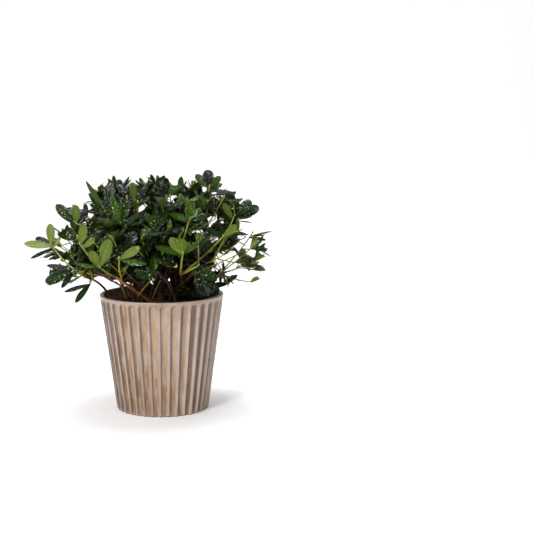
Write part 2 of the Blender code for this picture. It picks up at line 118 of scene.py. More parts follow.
# Trunk and limbs. The heart is the point that the boughs fan out from.
HEART = np.array((-0.004, 0.0, 0.124))
TRUNK_FLARE_RADIUS = 0.0092
TRUNK_RADIUS = 0.0064
TRUNK_TIP_RADIUS = 0.0050
TRUNK_TOP = 0.1420
TRUNK_LEAN = 0.0030
FLARE_FALL = 9.0
BOUGH_RADIUS = 0.0019
BOUGH_TIP_RADIUS = 0.0013
LOW_FORK = 0.1250
HIGH_FORK = 0.1340
FORK_SPLIT = 42.0
BOUGH_POINTS = 5
BOUGH_BEND = 0.45
TOP_BOUGH_RISE = 80.0
TOP_BOUGH_BEND = 0.40
STEM_FLARE = 1.7
STEM_FLARE_FALL = 2.5 * FLARE_FALL
STEM_BEND = 0.55

# A bough leaves the trunk at a share of its mass's rise, and this many degrees more
LEAVING_SHARE = 0.55
LEAVING_RISE = 4.0

# The shares of a mass's reach at which its bough and its own stem end
BOUGH_SHARE = 0.42
STEM_SHARE = 0.58

# Shoots: leaders at places of their own, and the rest dealt over the crown by the golden angle, from the
# top down to the skirt
SHOOTS = 98
LEADER_SPACING = math.radians(8.0)
GOLDEN = math.pi * (3.0 - math.sqrt(5.0))
SKIRT_RISE = 11.0
SKIRT_SWING = 9.0
SKIRT_TURN = 285.0
STRAY = 0.10
TIP_INSET = 0.0230
TIP_DEPTH = 0.0120
SIDE_INSET = 0.0030
UPTURN = 0.50
SWAY = 0.14
REACH_BLEND = 9.0
TURN_BACK = 0.05
TWIGS_OVER = 0.8

# Twigs
STEM_RADIUS = 0.0015
TWIG_RADIUS = 0.0011
TWIG_TIP_RADIUS = 0.0009

# Leaves: a spiral of them down each shoot, from the young inner ones to the old outer ones
SPIRAL_LEAVES = 6
SPIRAL_TILT = (24.0, 74.0)
SPIRAL_LENGTH = (0.0160, 0.0290)
SPIRAL_DEPTH = (0.0002, 0.0062)
OLD_LEAVES = 2
OLD_TILT = (50.0, 78.0)
OLD_LENGTH = (0.0240, 0.0310)
OLD_DEPTH = (0.0085, 0.0160)
LEAF_WIDTH = 0.42
LEAF_WIDEST = 0.60
LEAF_THICKNESS = 0.0009
LEAF_DROOP = (0.06, 0.18)
LEAF_TWIST = (-0.35, 0.35)
LEAST_TILT = 8.0
TILT_POWER = 0.8
LENGTH_POWER = 0.7
TILT_SPREAD = 16.0
LENGTH_SPREAD = (0.88, 0.24)
SPIRAL_STRAY = 0.2
WHORL_STRAY = 0.25
KEEL = 0.28
ROOT_SINK = 0.0002
BARE_STALK = 0.12

# What is tried in turn for a leaf that has no room: (more tilt, turn round the shoot, share of its length)
TRIES = (
    (0, 0, 1.0), (-12, 0, 0.96), (0, 26, 0.95), (0, -26, 0.95), (-24, 0, 0.92), (-12, 40, 0.90),
    (-12, -40, 0.90), (12, 0, 0.88), (-36, 0, 0.86),
)

# How far a leaf keeps from the next mass's space, from a limb and from the pot
SPACE_GAP = 0.0002
LIMB_GAP = 0.0008
POT_GAP = 0.0015

# The masses: degrees round from +X, degrees up from the heart, reach to the leaf tips, and seed
MASSES = {
    "left": (181, 24, 0.149, 233),
    "left_front": (218, 20, 0.145, 309),
    "front_left": (241, 28, 0.134, 854),
    "front": (277, 33, 0.132, 420),
    "front_right": (319, 28, 0.130, 304),
    "right": (6, 17, 0.135, 354),
    "back_right": (39, 30, 0.148, 135),
    "back": (97, 23, 0.136, 803),
    "back_left": (138, 24, 0.150, 941),
    "upper_left": (173, 55, 0.166, 862),
    "upper_front_left": (221, 65, 0.154, 965),
    "upper_front_right": (314, 64, 0.150, 754),
    "upper_right": (3, 52, 0.165, 290),
    "upper_back_right": (57, 55, 0.153, 119),
    "upper_back_left": (123, 56, 0.142, 815),
    "top": (99, 85, 0.129, 251),
}

# The shoots that stand out on the crown's front and outline: degrees round, degrees up and how far out
LEADERS = {
    "far_left": (183, 26, 0.127),
    "left": (178, 40, 0.118),
    "left_top": (205, 58, 0.110),
    "top_left": (215, 75, 0.108),
    "low_left": (217, 20, 0.110),
    "hanging_left": (231, 14, 0.103),
    "pale_left": (213, 34, 0.110),
    "pale_front": (235, 24, 0.102),
    "front_left": (238, 53, 0.104),
    "front_low_left": (247, 31, 0.098),
    "top_middle": (310, 80, 0.110),
    "top_right_middle": (318, 69, 0.107),
    "highest": (12, 64, 0.130),
    "bright": (308, 55, 0.107),
    "middle": (273, 51, 0.101),
    "bright_low": (293, 34, 0.100),
    "right_top": (340, 60, 0.112),
    "right": (2, 46, 0.120),
    "right_middle": (332, 40, 0.107),
    "right_lowest": (327, 16, 0.106),
    "front_low_right": (303, 26, 0.098),
}

# The masses whose bough is a stem of its own, and where that stem leaves the soil
SIDE_STEMS = {
    "front": (0.018, -0.040),
    "left_front": (-0.026, -0.025),
}

# The photographed side. Nothing hangs before the rim below this height: (half width, furthest back, height).
RIM_VIEW = (0.066, -0.030, 0.150)
PICTURE = 533.0
VIEW_MARGIN = 2.3
VIEW_DEPTH = 0.0010

# Gaps where sky shows through the crown or under its edge, as ellipses in the photograph's pixels:
# (middle across, middle down, half width, half height)
SKY = np.array((
    (76.0, 193.0, 10.0, 9.0),
    (65.0, 248.6, 5.5, 3.2), (63.8, 241.6, 3.5, 2.5), (40.0, 264.0, 26.0, 3.6), (24.0, 280.0, 21.0, 22.0),
    (52.0, 301.0, 40.0, 14.5), (78.0, 289.0, 9.0, 5.0), (89.0, 291.0, 7.0, 8.5), (88.0, 308.0, 20.0, 10.0),
    (78.8, 274.5, 3.2, 2.0), (100.5, 278.0, 4.0, 2.0), (113.0, 284.0, 6.5, 4.0), (80.0, 210.5, 2.2, 2.5),
    (89.2, 215.4, 1.8, 1.8), (75.0, 238.8, 1.8, 1.5), (65.0, 223.5, 1.8, 1.5), (139.4, 209.0, 2.6, 2.4),
    (170.2, 200.6, 1.2, 1.0), (213.0, 219.7, 5.0, 3.0), (214.1, 238.0, 2.2, 2.2), (209.5, 230.5, 1.5, 1.8),
    (218.4, 256.2, 2.4, 2.0), (224.0, 258.5, 3.0, 2.8), (218.8, 267.0, 2.6, 2.0), (227.6, 273.0, 3.0, 2.2),
    (233.9, 257.4, 4.5, 3.0), (233.5, 268.8, 3.2, 5.0), (239.3, 246.7, 4.0, 3.4), (246.3, 240.0, 5.0, 4.2),
    (251.0, 228.0, 11.0, 5.2), (258.9, 217.0, 6.0, 5.5), (250.0, 274.5, 11.0, 2.6),
    (264.0, 297.0, 44.0, 15.5), (252.0, 252.0, 3.5, 3.0), (266.0, 262.0, 5.0, 4.0), (239.0, 269.5, 2.0, 2.0),
    (152.5, 281.5, 1.6, 2.2), (167.0, 281.0, 1.6, 1.4),
))

# Stems that show over the rim, in millimetres:
# (foot, the point that bends it, end, radius at its foot, radius at its end)
SHOWN_STEMS = (
    ((-5, 0, 112), (-27, -30, 134), (-44, -52, 152), 1.9, 1.3),
    ((-50, -4, 112), (-62, -6, 140), (-76, -28, 147), 1.4, 1.1),
    ((-31, -20, 112), (-36, -24, 132), (-42, -45, 149), 1.1, 0.8),
    ((-29, -20, 112), (-29, -24, 128), (-27, -31, 138), 0.9, 0.7),
    ((16, -10, 112), (15, -12, 136), (17, -13, 158), 1.0, 0.8),
    ((19, -20, 112), (12, -22, 132), (6, -24, 152), 0.9, 0.7),
    ((-14, -20, 112), (-11, -22, 130), (-2, -24, 150), 0.7, 0.6),
)

# Bare green twigs between them: (start, the point that bends it, end)
GREEN_TWIGS = (
    ((-26, -20, 122), (-16, -34, 138), (-5, -44, 150)),
    ((-20, -30, 134), (-4, -42, 146), (-5, -50, 165)),
    ((-36, -30, 125), (-36, -34, 136), (-44, -46, 146)),
    ((-8, -28, 124), (-4, -32, 136), (2, -36, 146)),
)

# Leaders whose twigs show, with the place each leaves its stem at and the point that bends it
SHOWN_TWIGS = {
    "pale_left": ((-44, -52, 152), (-62, -62, 162)),
    "pale_front": ((-44, -52, 152), (-50, -66, 157)),
    "front_low_left": ((-38, -46, 148), (-40, -62, 160)),
    "far_left": ((-76, -28, 147), (-98, -30, 158)),
    "low_left": ((-76, -28, 147), (-80, -48, 152)),
    "hanging_left": ((-70, -22, 144), (-70, -50, 150)),
    "bright": ((22, -46, 172), (27, -52, 192)),
    "bright_low": ((24, -50, 154), (25, -68, 163)),
    "front_low_right": ((24, -50, 154), (34, -64, 160)),
    "right": ((55, -10, 162), (66, -10, 180)),
    "right_middle": ((24, -50, 154), (46, -52, 170)),
    "right_lowest": ((48, -30, 138), (64, -46, 145)),
}
SHOWN_TWIG_RADIUS = (0.0011, 0.0008)
GREEN_TWIG_RADIUS = (0.0006, 0.0004)
TWIG_SLIMNESS = 0.75

# Leaders whose leaves are younger than on other shoots, and by how many kinds
YOUNG_LEADERS = {
    "far_left": 2, "pale_left": 2, "pale_front": 2, "bright_low": 2, "left": 1,
    "front_left": 1, "bright": 1, "middle": 1, "right": 1, "right_middle": 1,
    "top_right_middle": 1, "front_low_left": 1,
}

# Visible limbs are slimmer than their solids. Thin stems rise from the soil beside the trunk.
LIMB_SLIMNESS = 0.78
BASAL_STEMS = 11
BASAL_SPREAD = (0.008, 0.024)
BASAL_RADIUS = (0.0010, 0.0007)
BASAL_SEED = 71
BASAL_END = (0.6, 0.95)
BASAL_TURN = (-0.7, 0.7)
BASAL_RISE = (0.35, 0.65)
BASAL_STRAY = (-0.003, 0.003)
BASAL_SINK = 0.001

# Twigs here bow a little, and end at their shoots' axes
TWIG_POINTS = 12
LIMB_RINGS = 26
TWIG_BOW = 0.05
TWIG_MIDDLE = 0.55
TWIG_SAG = 0.3
SIDE_SHARE = (0.12, 0.66)
SIDE_RISE = 0.10
SIDE_INSIDE = 0.0110
INNER_DEPTH = 0.0120
SIDE_LEAN = (math.radians(32.0), math.radians(58.0))
SIDE_LENGTH = (0.0140, 0.0280)
SIDE_TIP_RADIUS = 0.0006
SIDE_UPTURN = 0.35
INNER_UPTURN = 0.5
BUD_LENGTH = 0.0036
BUD_SPREAD = (0.8, 1.2)
SIDE_BUD_SPREAD = (0.6, 0.9)
BUD_WIDTH = 0.30
BUD_SINK = 0.12
FINER_SEED = 5000

# The single leaves that stand out on the photographed side, by the leader that bears them:
# (its tip in millimetres, which side faces front, width over length, kind).
# The side is 1 for the upper one, -1 for the underside and 0 for a leaf that lies level.
SHOWN_LEAVES = {
    "far_left": (
        ((-119, -9, 204), -1, 0.37, "new"), ((-147, -10, 181), -1, 0.29, "new"),
        ((-105, -14, 188), -1, 0.44, "new"), ((-136, -2, 189), 1, 0.40, "old"),
        ((-142, -8, 168), 0, 0.34, "old"),
    ),
    "left": (
        ((-91, -2, 224), -1, 0.42, "young"), ((-116, 5, 223), 1, 0.34, "grown"),
        ((-102, 7, 220), 1, 0.42, "grown"), ((-84, 8, 218), 1, 0.36, "old"),
    ),
    "left_top": (
        ((-78, -22, 250), -1, 0.13, "grown"), ((-75, -27, 238), 1, 0.14, "grown"),
        ((-71, -33, 232), 1, 0.25, "grown"), ((-52, -23, 250), 1, 0.30, "old"),
        ((-83, -35, 224), 0, 0.36, "old"),
    ),
    "low_left": (
        ((-116, -68, 150), 1, 0.44, "grown"), ((-113, -66, 168), 0, 0.30, "old"),
        ((-99, -70, 144), 0, 0.32, "old"),
    ),
    "hanging_left": (
        ((-84, -80, 130), 0, 0.30, "grown"), ((-94, -82, 143), 0, 0.30, "old"),
    ),
    "pale_left": (
        ((-74, -57, 209), -1, 0.36, "young"), ((-95, -54, 199), 1, 0.36, "grown"),
        ((-59, -54, 199), 1, 0.36, "grown"), ((-62, -60, 192), -1, 0.36, "young"),
    ),
    "pale_front": (
        ((-45, -82, 196), -1, 0.38, "young"), ((-66, -84, 184), -1, 0.42, "young"),
        ((-79, -82, 172), 0, 0.34, "young"), ((-45, -72, 181), 1, 0.40, "grown"),
    ),
    "front_low_left": (
        ((-13, -85, 187), -1, 0.32, "young"), ((-9, -85, 172), 0, 0.34, "young"),
        ((-22, -81, 202), 1, 0.42, "old"), ((-48, -81, 190), 1, 0.40, "old"),
    ),
    "front_left": (
        ((-47, -61, 238), 1, 0.26, "young"), ((-29, -61, 233), 1, 0.28, "grown"),
        ((-18, -63, 219), 1, 0.27, "grown"),
    ),
    "middle": (
        ((0, -71, 227), 1, 0.30, "grown"), ((-10, -71, 221), 1, 0.26, "young"),
        ((12, -71, 222), 1, 0.28, "grown"),
    ),
    "top_left": (
        ((-28, -22, 250), -1, 0.32, "young"), ((-46, -18, 247), 1, 0.30, "old"),
        ((-13, -18, 247), 1, 0.28, "old"),
    ),
    "bright": (
        ((35, -56, 232), 1, 0.50, "young"), ((14, -56, 219), 1, 0.34, "young"),
        ((52, -56, 218), 1, 0.30, "grown"),
    ),
    "bright_low": (
        ((14, -85, 196), -1, 0.46, "new"), ((45, -85, 193), 1, 0.30, "young"),
        ((1, -85, 189), 1, 0.26, "young"), ((27, -90, 195), 1, 0.60, "new"),
    ),
    "highest": (
        ((50, 8, 260), 1, 0.62, "old"), ((37, 10, 255), 1, 0.40, "young"),
        ((64, 10, 253), 1, 0.40, "young"), ((77, 6, 238), 0, 0.40, "old"),
    ),
    "right": (
        ((97, -1, 228), 1, 0.42, "grown"), ((106, 5, 221), 1, 0.42, "old"),
        ((59, -1, 227), 1, 0.40, "grown"), ((66, -5, 225), -1, 0.34, "young"),
    ),
    "right_middle": (
        ((84, -46, 206), -1, 0.36, "young"), ((52, -46, 201), 1, 0.38, "grown"),
    ),
    "front_low_right": (
        ((54, -78, 136), 1, 0.66, "old"), ((62, -80, 153), 1, 0.40, "grown"),
    ),
    "top_middle": (
        ((6, -19, 253), 1, 0.42, "old"), ((20, -19, 245), 1, 0.40, "young"),
        ((-5, -19, 247), 1, 0.40, "old"),
    ),
}
FRONT = np.array((0.0, -1.0, 0.55))
LEVEL = np.array((0.0, -0.45, 1.0))
FACING_SWAY = 0.22
LEAN_BACK = 0.35
SHOWN_DROOP = 0.10
SHOWN_WAVES = (1.7, 2.3, 2.9)
ROOTS_APART = 0.001

# Short leafy twigs on the old wood inside the crown, behind the stems that show
INNER_SHOOTS = 12
FEWEST_LEAVES = 3
INNER_SHARE = (0.35, 1.0)
INNER_LENGTH = (0.0080, 0.0180)
INNER_FRONT = -0.030
INNER_ROW = (6, (35.0, 80.0), (0.0130, 0.0210), (0.0, 0.0060))

# The kinds of leaf, youngest first, and the rows of more leaves on a shoot of the rule and on a side shoot:
# (how many, degrees out from the shoot, length, depth below the tip, place in the spiral, 0 for the youngest)
LEAF_KINDS = ("new", "young", "grown", "old")
HEART_ROWS = (
    (4, (6.0, 26.0), (0.0085, 0.0145), (0.0000, 0.0006), 0),
    (3, (20.0, 44.0), (0.0120, 0.0175), (0.0003, 0.0020), 1),
    (4, (38.0, 72.0), (0.0160, 0.0215), (0.0015, 0.0050), 3),
    (4, (58.0, 88.0), (0.0180, 0.0245), (0.0050, 0.0120), 5),
    (5, (48.0, 82.0), (0.0170, 0.0250), (0.0140, 0.0340), 6),
    (5, (48.0, 82.0), (0.0150, 0.0230), (0.0300, 0.0580), 6),
)
SIDE_ROWS = (
    (2, (8.0, 26.0), (0.0080, 0.0125), (0.0000, 0.0008), 1),
    (4, (34.0, 66.0), (0.0140, 0.0200), (0.0008, 0.0040), 4),
    (3, (56.0, 84.0), (0.0170, 0.0230), (0.0035, 0.0090), 5),
)

# A blade's rows from root to tip and columns from edge to edge, and the powers that give its outline
BLADE_ROWS = np.array((0.0, 0.14, 0.32, 0.52, 0.71, 0.87, 0.965, 1.0))
BLADE_COLUMNS = np.array((-1.0, -0.55, 0.0, 0.55, 1.0))
ROOT_POWER = 0.85
TIP_FALL = 1.9
TIP_POWER = (0.50, 0.80)
POINTEDNESS = (1.02, 0.40)
WIDTH_SPREAD = (0.80, 1.12)
STALK_RADIUS = 0.0007
BLADE_THICKNESS = 0.00035
MOST_LEAVES = 1700
JOIN_WITHIN = 1e-7
SHORTEST_EDGE = 1e-8

# The soil's lumps, crumbs and moss: seeds, how many, and their sizes
SOIL_WAVES = {"seed": 31, "terms": 16, "finest": 0.004, "coarsest": 0.05}
SOIL_RISE = 0.0012
CRUMB_SEED = 77
CRUMB_SIZE = (0.0012, 0.0036)
CRUMB_SHAPE = ((0.8, 0.35, 0.12), (1.0, 0.7, 0.35))
CRUMB_DENTS = (0.75, 1.15)
CRUMB_PITCH = 0.28
CRUMB_LIFT = 0.0003
MOSS_SEED = 53
TUFTS = 46
TUFT_RINGS = 5
TUFT_SIDES = 9
TUFT_SIZE = (0.0010, 0.0030)
TUFT_TURN = (190.0, 22.0)
TUFT_INSET = (0.002, 0.008)
TUFT_EDGE = 0.0006

# How a limb's radius swells: how many sines, how fast they turn along it at most, and what tames them
SWELLS = 14
SWELL_RUN = 260.0
SWELL_DIVISOR = 4.0

# The pot's glaze, in metres up the pot or from its left to its right: (where a part starts, where it is full)
LOW_PART = (0.125, 0.015)
HIGH_PART = (0.085, 0.112)
# Left: the gold deepens here as painted shade, and the wall lines darken
LEFT_PART = (0.020, -0.045)
# Right: the ridges get paler here as painted light, and the wall lines darken as painted shade
RIGHT_PART = (0.000, 0.030)
# Far right: the flutes darken here with painted shade
RIGHTMOST_SHADE = (0.022, 0.042)

# How near a flute's wall its dark line of patina and painted shade starts, less on the right and on the left,
# and how wide it is
LINE_START = 0.80
LINE_LESS_RIGHT = 0.36
LINE_LESS_LEFT = 0.22
LINE_WIDTH = 0.24

# The side veins of a leaf, and the size of the net between them, in cells to a metre
SIDE_VEINS = 9.0
VEIN_SLANT = 1.9
VEIN_NET = 310.0

# The underside of a leaf: its roughness, its shine, and its relief as a share of the upper side's
UNDER_GLOSS = 0.48
UNDER_SHINE = 0.10
UNDER_RELIEF = 0.7

# The floor's sweep: its front, where it starts to turn up, how round the turn is, its top and half its width
SWEEP_FRONT = -3.0
SWEEP_FOOT = 1.3
SWEEP_RADIUS = 0.9
SWEEP_TOP = 3.2
SWEEP_HALF_WIDTH = 4.0

# The lights: (name, the setting that holds its power, size, place, what it faces)
LIGHTS = (
    ("main_light", "key_power", 0.5, (-0.72, -1.5, 0.95), (0.0, 0.0, 0.12)),
    ("glint_light", "glint_power", 0.55, (-0.25, -0.45, 1.35), (0.0, 0.0, 0.2)),
    ("top_light", "top_power", 0.8, (-0.05, 0.25, 1.5), (0.0, 0.0, 0.1)),
    ("side_light", "fill_power", 0.7, (-1.4, -0.35, 0.9), (0.0, 0.0, 0.12)),
    ("back_light", "back_power", 1.6, (0.0, 0.75, 1.6), (0.0, 1.6, 0.3)),
)

UP = np.array((0.0, 0.0, 1.0))


def unit(vector):
    return vector / np.linalg.norm(vector)


def heading(round_degrees, up_degrees):
    """The unit vector at these angles, round from +X and up from level."""
    turn = math.radians(round_degrees)
    rise = math.radians(up_degrees)
    return np.array((math.cos(rise) * math.cos(turn), math.cos(rise) * math.sin(turn), math.sin(rise)))


MASS_WAYS = np.array([heading(turn, rise) for turn, rise, _, _ in MASSES.values()])
LEADER_WAYS = np.array([heading(turn, rise) for turn, rise, _ in LEADERS.values()])


def square_pair(axis):
    """Two unit vectors square to the axis and to each other."""
    helper = UP if abs(axis[2]) < 0.95 else np.array((1.0, 0.0, 0.0))
    side = unit(np.cross(helper, axis))
    return side, np.cross(axis, side)


def leaning(axis, tilt, roll):
    """The direction that leans this far out from the axis, on the side that the roll gives, and that side."""
    side, over = square_pair(axis)
    spread = math.cos(roll) * side + math.sin(roll) * over
    return math.cos(tilt) * axis + math.sin(tilt) * spread, spread


def trunk_axis(height):
    """The trunk's middle at a height: upright at the soil, then leaning towards the heart."""
    share = np.clip((height - SOIL_TOP) / (TRUNK_TOP - SOIL_TOP), 0.0, 1.0)
    return np.array((HEART[0] + TRUNK_LEAN * (1.0 - share) ** 2, HEART[1], height))


def trunk_radius(height):
    """Flared at the soil, then an even taper to the fork."""
    share = np.clip((height - SOIL_TOP) / (TRUNK_TOP - SOIL_TOP), 0.0, 1.0)
    flare = (TRUNK_FLARE_RADIUS - TRUNK_RADIUS) * math.exp(-FLARE_FALL * share)
    return TRUNK_RADIUS + (TRUNK_TIP_RADIUS - TRUNK_RADIUS) * share + flare


def bend(start, middle, end, count):
    """Points along a parabola that leaves start towards middle and arrives at end from it."""
    t = np.linspace(0.0, 1.0, count)[:, None]
    return (1 - t) ** 2 * start + 2 * t * (1 - t) * middle + t**2 * end


def limb_of(name, count=BOUGH_POINTS):
    """(points, radii) of the bough or side stem that carries a mass, along a parabola of count points."""
    turn, rise, reach, _ = MASSES[name]
    end = HEART + heading(turn, rise) * reach * BOUGH_SHARE
    radii = np.linspace(BOUGH_RADIUS, BOUGH_TIP_RADIUS, count)
    if name in SIDE_STEMS:
        foot = np.array((*SIDE_STEMS[name], SOIL_TOP + CLEARANCE))
        middle = foot + UP * STEM_BEND * (end[2] - foot[2])
        points = bend(foot, middle, end, count)
        points[1, :2] = foot[:2]
        radii[0] *= STEM_FLARE
        return points, radii
    if rise > TOP_BOUGH_RISE:
        start = trunk_axis(TRUNK_TOP) + UP * CLEARANCE
        return bend(start, start + UP * TOP_BOUGH_BEND * (end[2] - start[2]), end, count), radii
    height = LOW_FORK if rise < FORK_SPLIT else HIGH_FORK
    leaving = heading(turn, LEAVING_SHARE * rise + LEAVING_RISE)
    out = trunk_radius(height) + CLEARANCE + BOUGH_RADIUS * leaving[2]
    start = trunk_axis(height) + heading(turn, 0.0) * out
    middle = start + leaving * BOUGH_BEND * np.linalg.norm(end - start)
    return bend(start, middle, end, count), radii


def clear_of_limbs(points, limbs):
    """Whether every point keeps its gap from every limb."""
    for path, radii in limbs:
        starts, spans = path[:-1], np.diff(path, axis=0)
        along = ((points[:, None] - starts) * spans).sum(axis=2) / (spans**2).sum(axis=1)
        nearest = starts + np.clip(along, 0.0, 1.0)[..., None] * spans
        if (np.linalg.norm(points[:, None] - nearest, axis=2) < radii[:-1] + LIMB_GAP).any():
            return False
    return True


def reach_towards(ways):
    """How far the crown reaches in these directions: the masses' own reaches, blended by nearness."""
    reaches = np.array([reach for _, _, reach, _ in MASSES.values()])
    weights = np.exp(REACH_BLEND * ways @ MASS_WAYS.T)
    return weights @ reaches / weights.sum(axis=1)


def dividing(name):
    """The unit vectors square to the planes that divide this mass's own space from the others'."""
    own = heading(*MASSES[name][:2])
    return np.array([unit(own - heading(*row[:2])) for other, row in MASSES.items() if other != name])


DIVIDING = {name: dividing(name) for name in MASSES}


def room(points, name):
    """How far the nearest of the points lies inside the mass's own space. Below zero is outside.

    The space is all that lies nearer in direction, seen from the heart, to this mass than to another."""
    return ((points - HEART) @ DIVIDING[name].T).min()


def in_space(points, name, limit):
    """Whether the points keep to the mass's own space, and within a distance of the heart."""
    return room(points, name) > SPACE_GAP and np.linalg.norm(points - HEART, axis=1).max() < limit


def clear_of_pot(points):
    """Whether no point is inside the pot or close to its rim."""
    near = np.hypot(points[:, 0], points[:, 1]) < RIM_RADIUS + POT_GAP
    return not (near & (points[:, 2] < POT_HEIGHT + POT_GAP)).any()


def leaf_corners(leaf):
    """A leaf's five corners: root, the two sides, the keel under its midrib and the tip."""
    root, along, normal, length, droop = leaf
    across = np.cross(normal, along)
    middle = root + along * LEAF_WIDEST * length - normal * LEAF_WIDEST**2 * droop * length
    half = across * LEAF_WIDTH * length / 2
    keel = root + along * KEEL * length - normal * (KEEL**2 * droop * length + LEAF_THICKNESS)
    tip = root + along * length - normal * droop * length
    return np.array((root, middle + half, middle - half, keel, tip))


BLADE_FACES = ((0, 2, 1), (1, 2, 4))
BLADE_EDGES = ((0, 1), (0, 2), (1, 2), (1, 4), (2, 4), (0, 4))
EDGE_SHARES = (0.3, 0.5, 0.75)
FLATTEST = 1e-18


def blade_of(corners):
    """The corners with the root moved up the blade, past the part that sinks into the shoot."""
    blade = corners.copy()
    blade[0] += BARE_STALK * (corners[4] - corners[0])
    return blade


def edges_of(corners):
    """The starts and the ends of a blade's edges."""
    return (np.array([corners[pair[end]] for pair in BLADE_EDGES]) for end in (0, 1))


def leaf_samples(corners):
    """The corners past the root, and points along each edge."""
    starts, ends = edges_of(corners)
    return np.concatenate((corners[1:], *(starts + (ends - starts) * share for share in EDGE_SHARES)))


def meets(starts, spans, triangles):
    """Whether any of the straight lines, each a start and a span, passes through any of the triangles."""
    if not len(starts) or not len(triangles):
        return False
    first = triangles[:, 1] - triangles[:, 0]
    second = triangles[:, 2] - triangles[:, 0]
    across = np.cross(spans[:, None], second[None])
    scale = (first[None] * across).sum(axis=2)
    scale = np.where(np.abs(scale) < FLATTEST, FLATTEST, scale)
    gap = starts[:, None] - triangles[None, :, 0]
    u = (gap * across).sum(axis=2) / scale
    turned_gap = np.cross(gap, first[None])
    v = (spans[:, None] * turned_gap).sum(axis=2) / scale
    t = (second[None] * turned_gap).sum(axis=2) / scale
    return bool(((u >= 0) & (v >= 0) & (u + v <= 1) & (t >= 0) & (t <= 1)).any())


class Thicket:
    """The limbs, twigs and blades so far, and whether one more blade would cut through them."""

    def __init__(self, rods, limbs):
        self.starts = np.array([rod[0] for rod in rods] + [p for path, _ in limbs for p in path[:-1]])
        ends = np.array([rod[1] for rod in rods] + [p for path, _ in limbs for p in path[1:]])
        self.spans = ends - self.starts
        self.blades = np.zeros((0, 3, 3))

    def parts(self, blade):
        """A blade's triangles, and the starts and spans of its edges."""
        starts, ends = edges_of(blade)
        return np.array([[blade[i] for i in face] for face in BLADE_FACES]), starts, ends - starts

    def takes(self, blade):
        triangles, starts, spans = self.parts(blade)
        return not meets(self.starts, self.spans, triangles) and not meets(starts, spans, self.blades)

    def add(self, blade):
        triangles, starts, spans = self.parts(blade)
        self.blades = np.concatenate((self.blades, triangles))
        self.starts = np.concatenate((self.starts, starts))
        self.spans = np.concatenate((self.spans, spans))


def all_shoots():
    """The directions of all shoots from the heart, and how far out the leaders end, with 0 for the rest."""
    number = np.arange(SHOOTS)
    turns = number * GOLDEN
    skirt = SKIRT_RISE + SKIRT_SWING * np.cos(turns - math.radians(SKIRT_TURN))
    low = np.sin(np.radians(skirt))
    heights = 1.0 - (1.0 - low) * (number + 0.5) / SHOOTS
    level = np.sqrt(1.0 - heights**2)
    fan = np.stack((level * np.cos(turns), level * np.sin(turns), heights), axis=1)
    fan = fan[(fan @ LEADER_WAYS.T).max(axis=1) < math.cos(LEADER_SPACING)]
    distances = [distance for _, _, distance in LEADERS.values()] + [0.0] * len(fan)
    return np.concatenate((LEADER_WAYS, fan)), np.array(distances)


def mass_shoots(name):
    """(direction, distance) of the shoots that lie nearest to this mass, the middle ones first."""
    own = list(MASSES).index(name)
    ways, distances = all_shoots()
    nearness = ways @ MASS_WAYS.T
    chosen = np.flatnonzero(nearness.argmax(axis=1) == own)
    return [(ways[i], distances[i]) for i in sorted(chosen, key=lambda i: -nearness[i, own])]


def leaf_at(root, axis, tilt, roll, length, droop, twist):
    """(root, direction, upper side, length, droop) of a leaf at these angles to its shoot."""
    along, spread = leaning(axis, tilt, roll)
    normal = math.sin(tilt) * axis - math.cos(tilt) * spread
    normal = math.cos(twist) * normal + math.sin(twist) * np.cross(along, normal)
    return root - along * ROOT_SINK, along, normal, length, droop


def leaf_in_room(rng, name, limbs, thicket, limit, root, axis, tilt, roll, length):
    """The first of the tries for this leaf that keeps to its space and cuts through nothing, or None."""
    droop = rng.uniform(*LEAF_DROOP)
    twist = rng.uniform(*LEAF_TWIST)
    for more_tilt, turn, share in TRIES:
        angle = math.radians(max(tilt + more_tilt, LEAST_TILT))
        leaf = leaf_at(root, axis, angle, roll + math.radians(turn), length * share, droop, twist)
        corners = leaf_corners(leaf)
        points = leaf_samples(corners)
        blade = blade_of(corners)
        fits = in_space(points, name, limit) and clear_of_pot(points) and clear_of_limbs(points, limbs)
        if fits and thicket.takes(blade):
            thicket.add(blade)
            return leaf
    return None


def between(ends, share):
    return ends[0] + (ends[1] - ends[0]) * share


def shoot_leaves(rng, name, limbs, thicket, start, tip, axis, limit):
    """(leaf, its place in the spiral) of each leaf of one shoot, a golden angle on from the one above it."""
    roll = rng.uniform(0.0, 2 * math.pi)
    found = []
    for number in range(SPIRAL_LEAVES + OLD_LEAVES):
        roll += GOLDEN + rng.uniform(-SPIRAL_STRAY, SPIRAL_STRAY)
        share = min(number / (SPIRAL_LEAVES - 1), 1.0)
        draws = rng.uniform(size=3)
        if number < SPIRAL_LEAVES:
            tilt = between(SPIRAL_TILT, share**TILT_POWER) + TILT_SPREAD * (draws[0] - 0.5)
            length = between(SPIRAL_LENGTH, share**LENGTH_POWER)
            length *= LENGTH_SPREAD[0] + LENGTH_SPREAD[1] * draws[1]
            depth = between(SPIRAL_DEPTH, share)
        else:
            tilt, length, depth = map(between, (OLD_TILT, OLD_LENGTH, OLD_DEPTH), draws)
        root = tip + unit(start - tip) * depth
        leaf = leaf_in_room(rng, name, limbs, thicket, limit, root, axis, tilt, roll, length)
        if leaf:
            found.append((leaf, number))
    return found


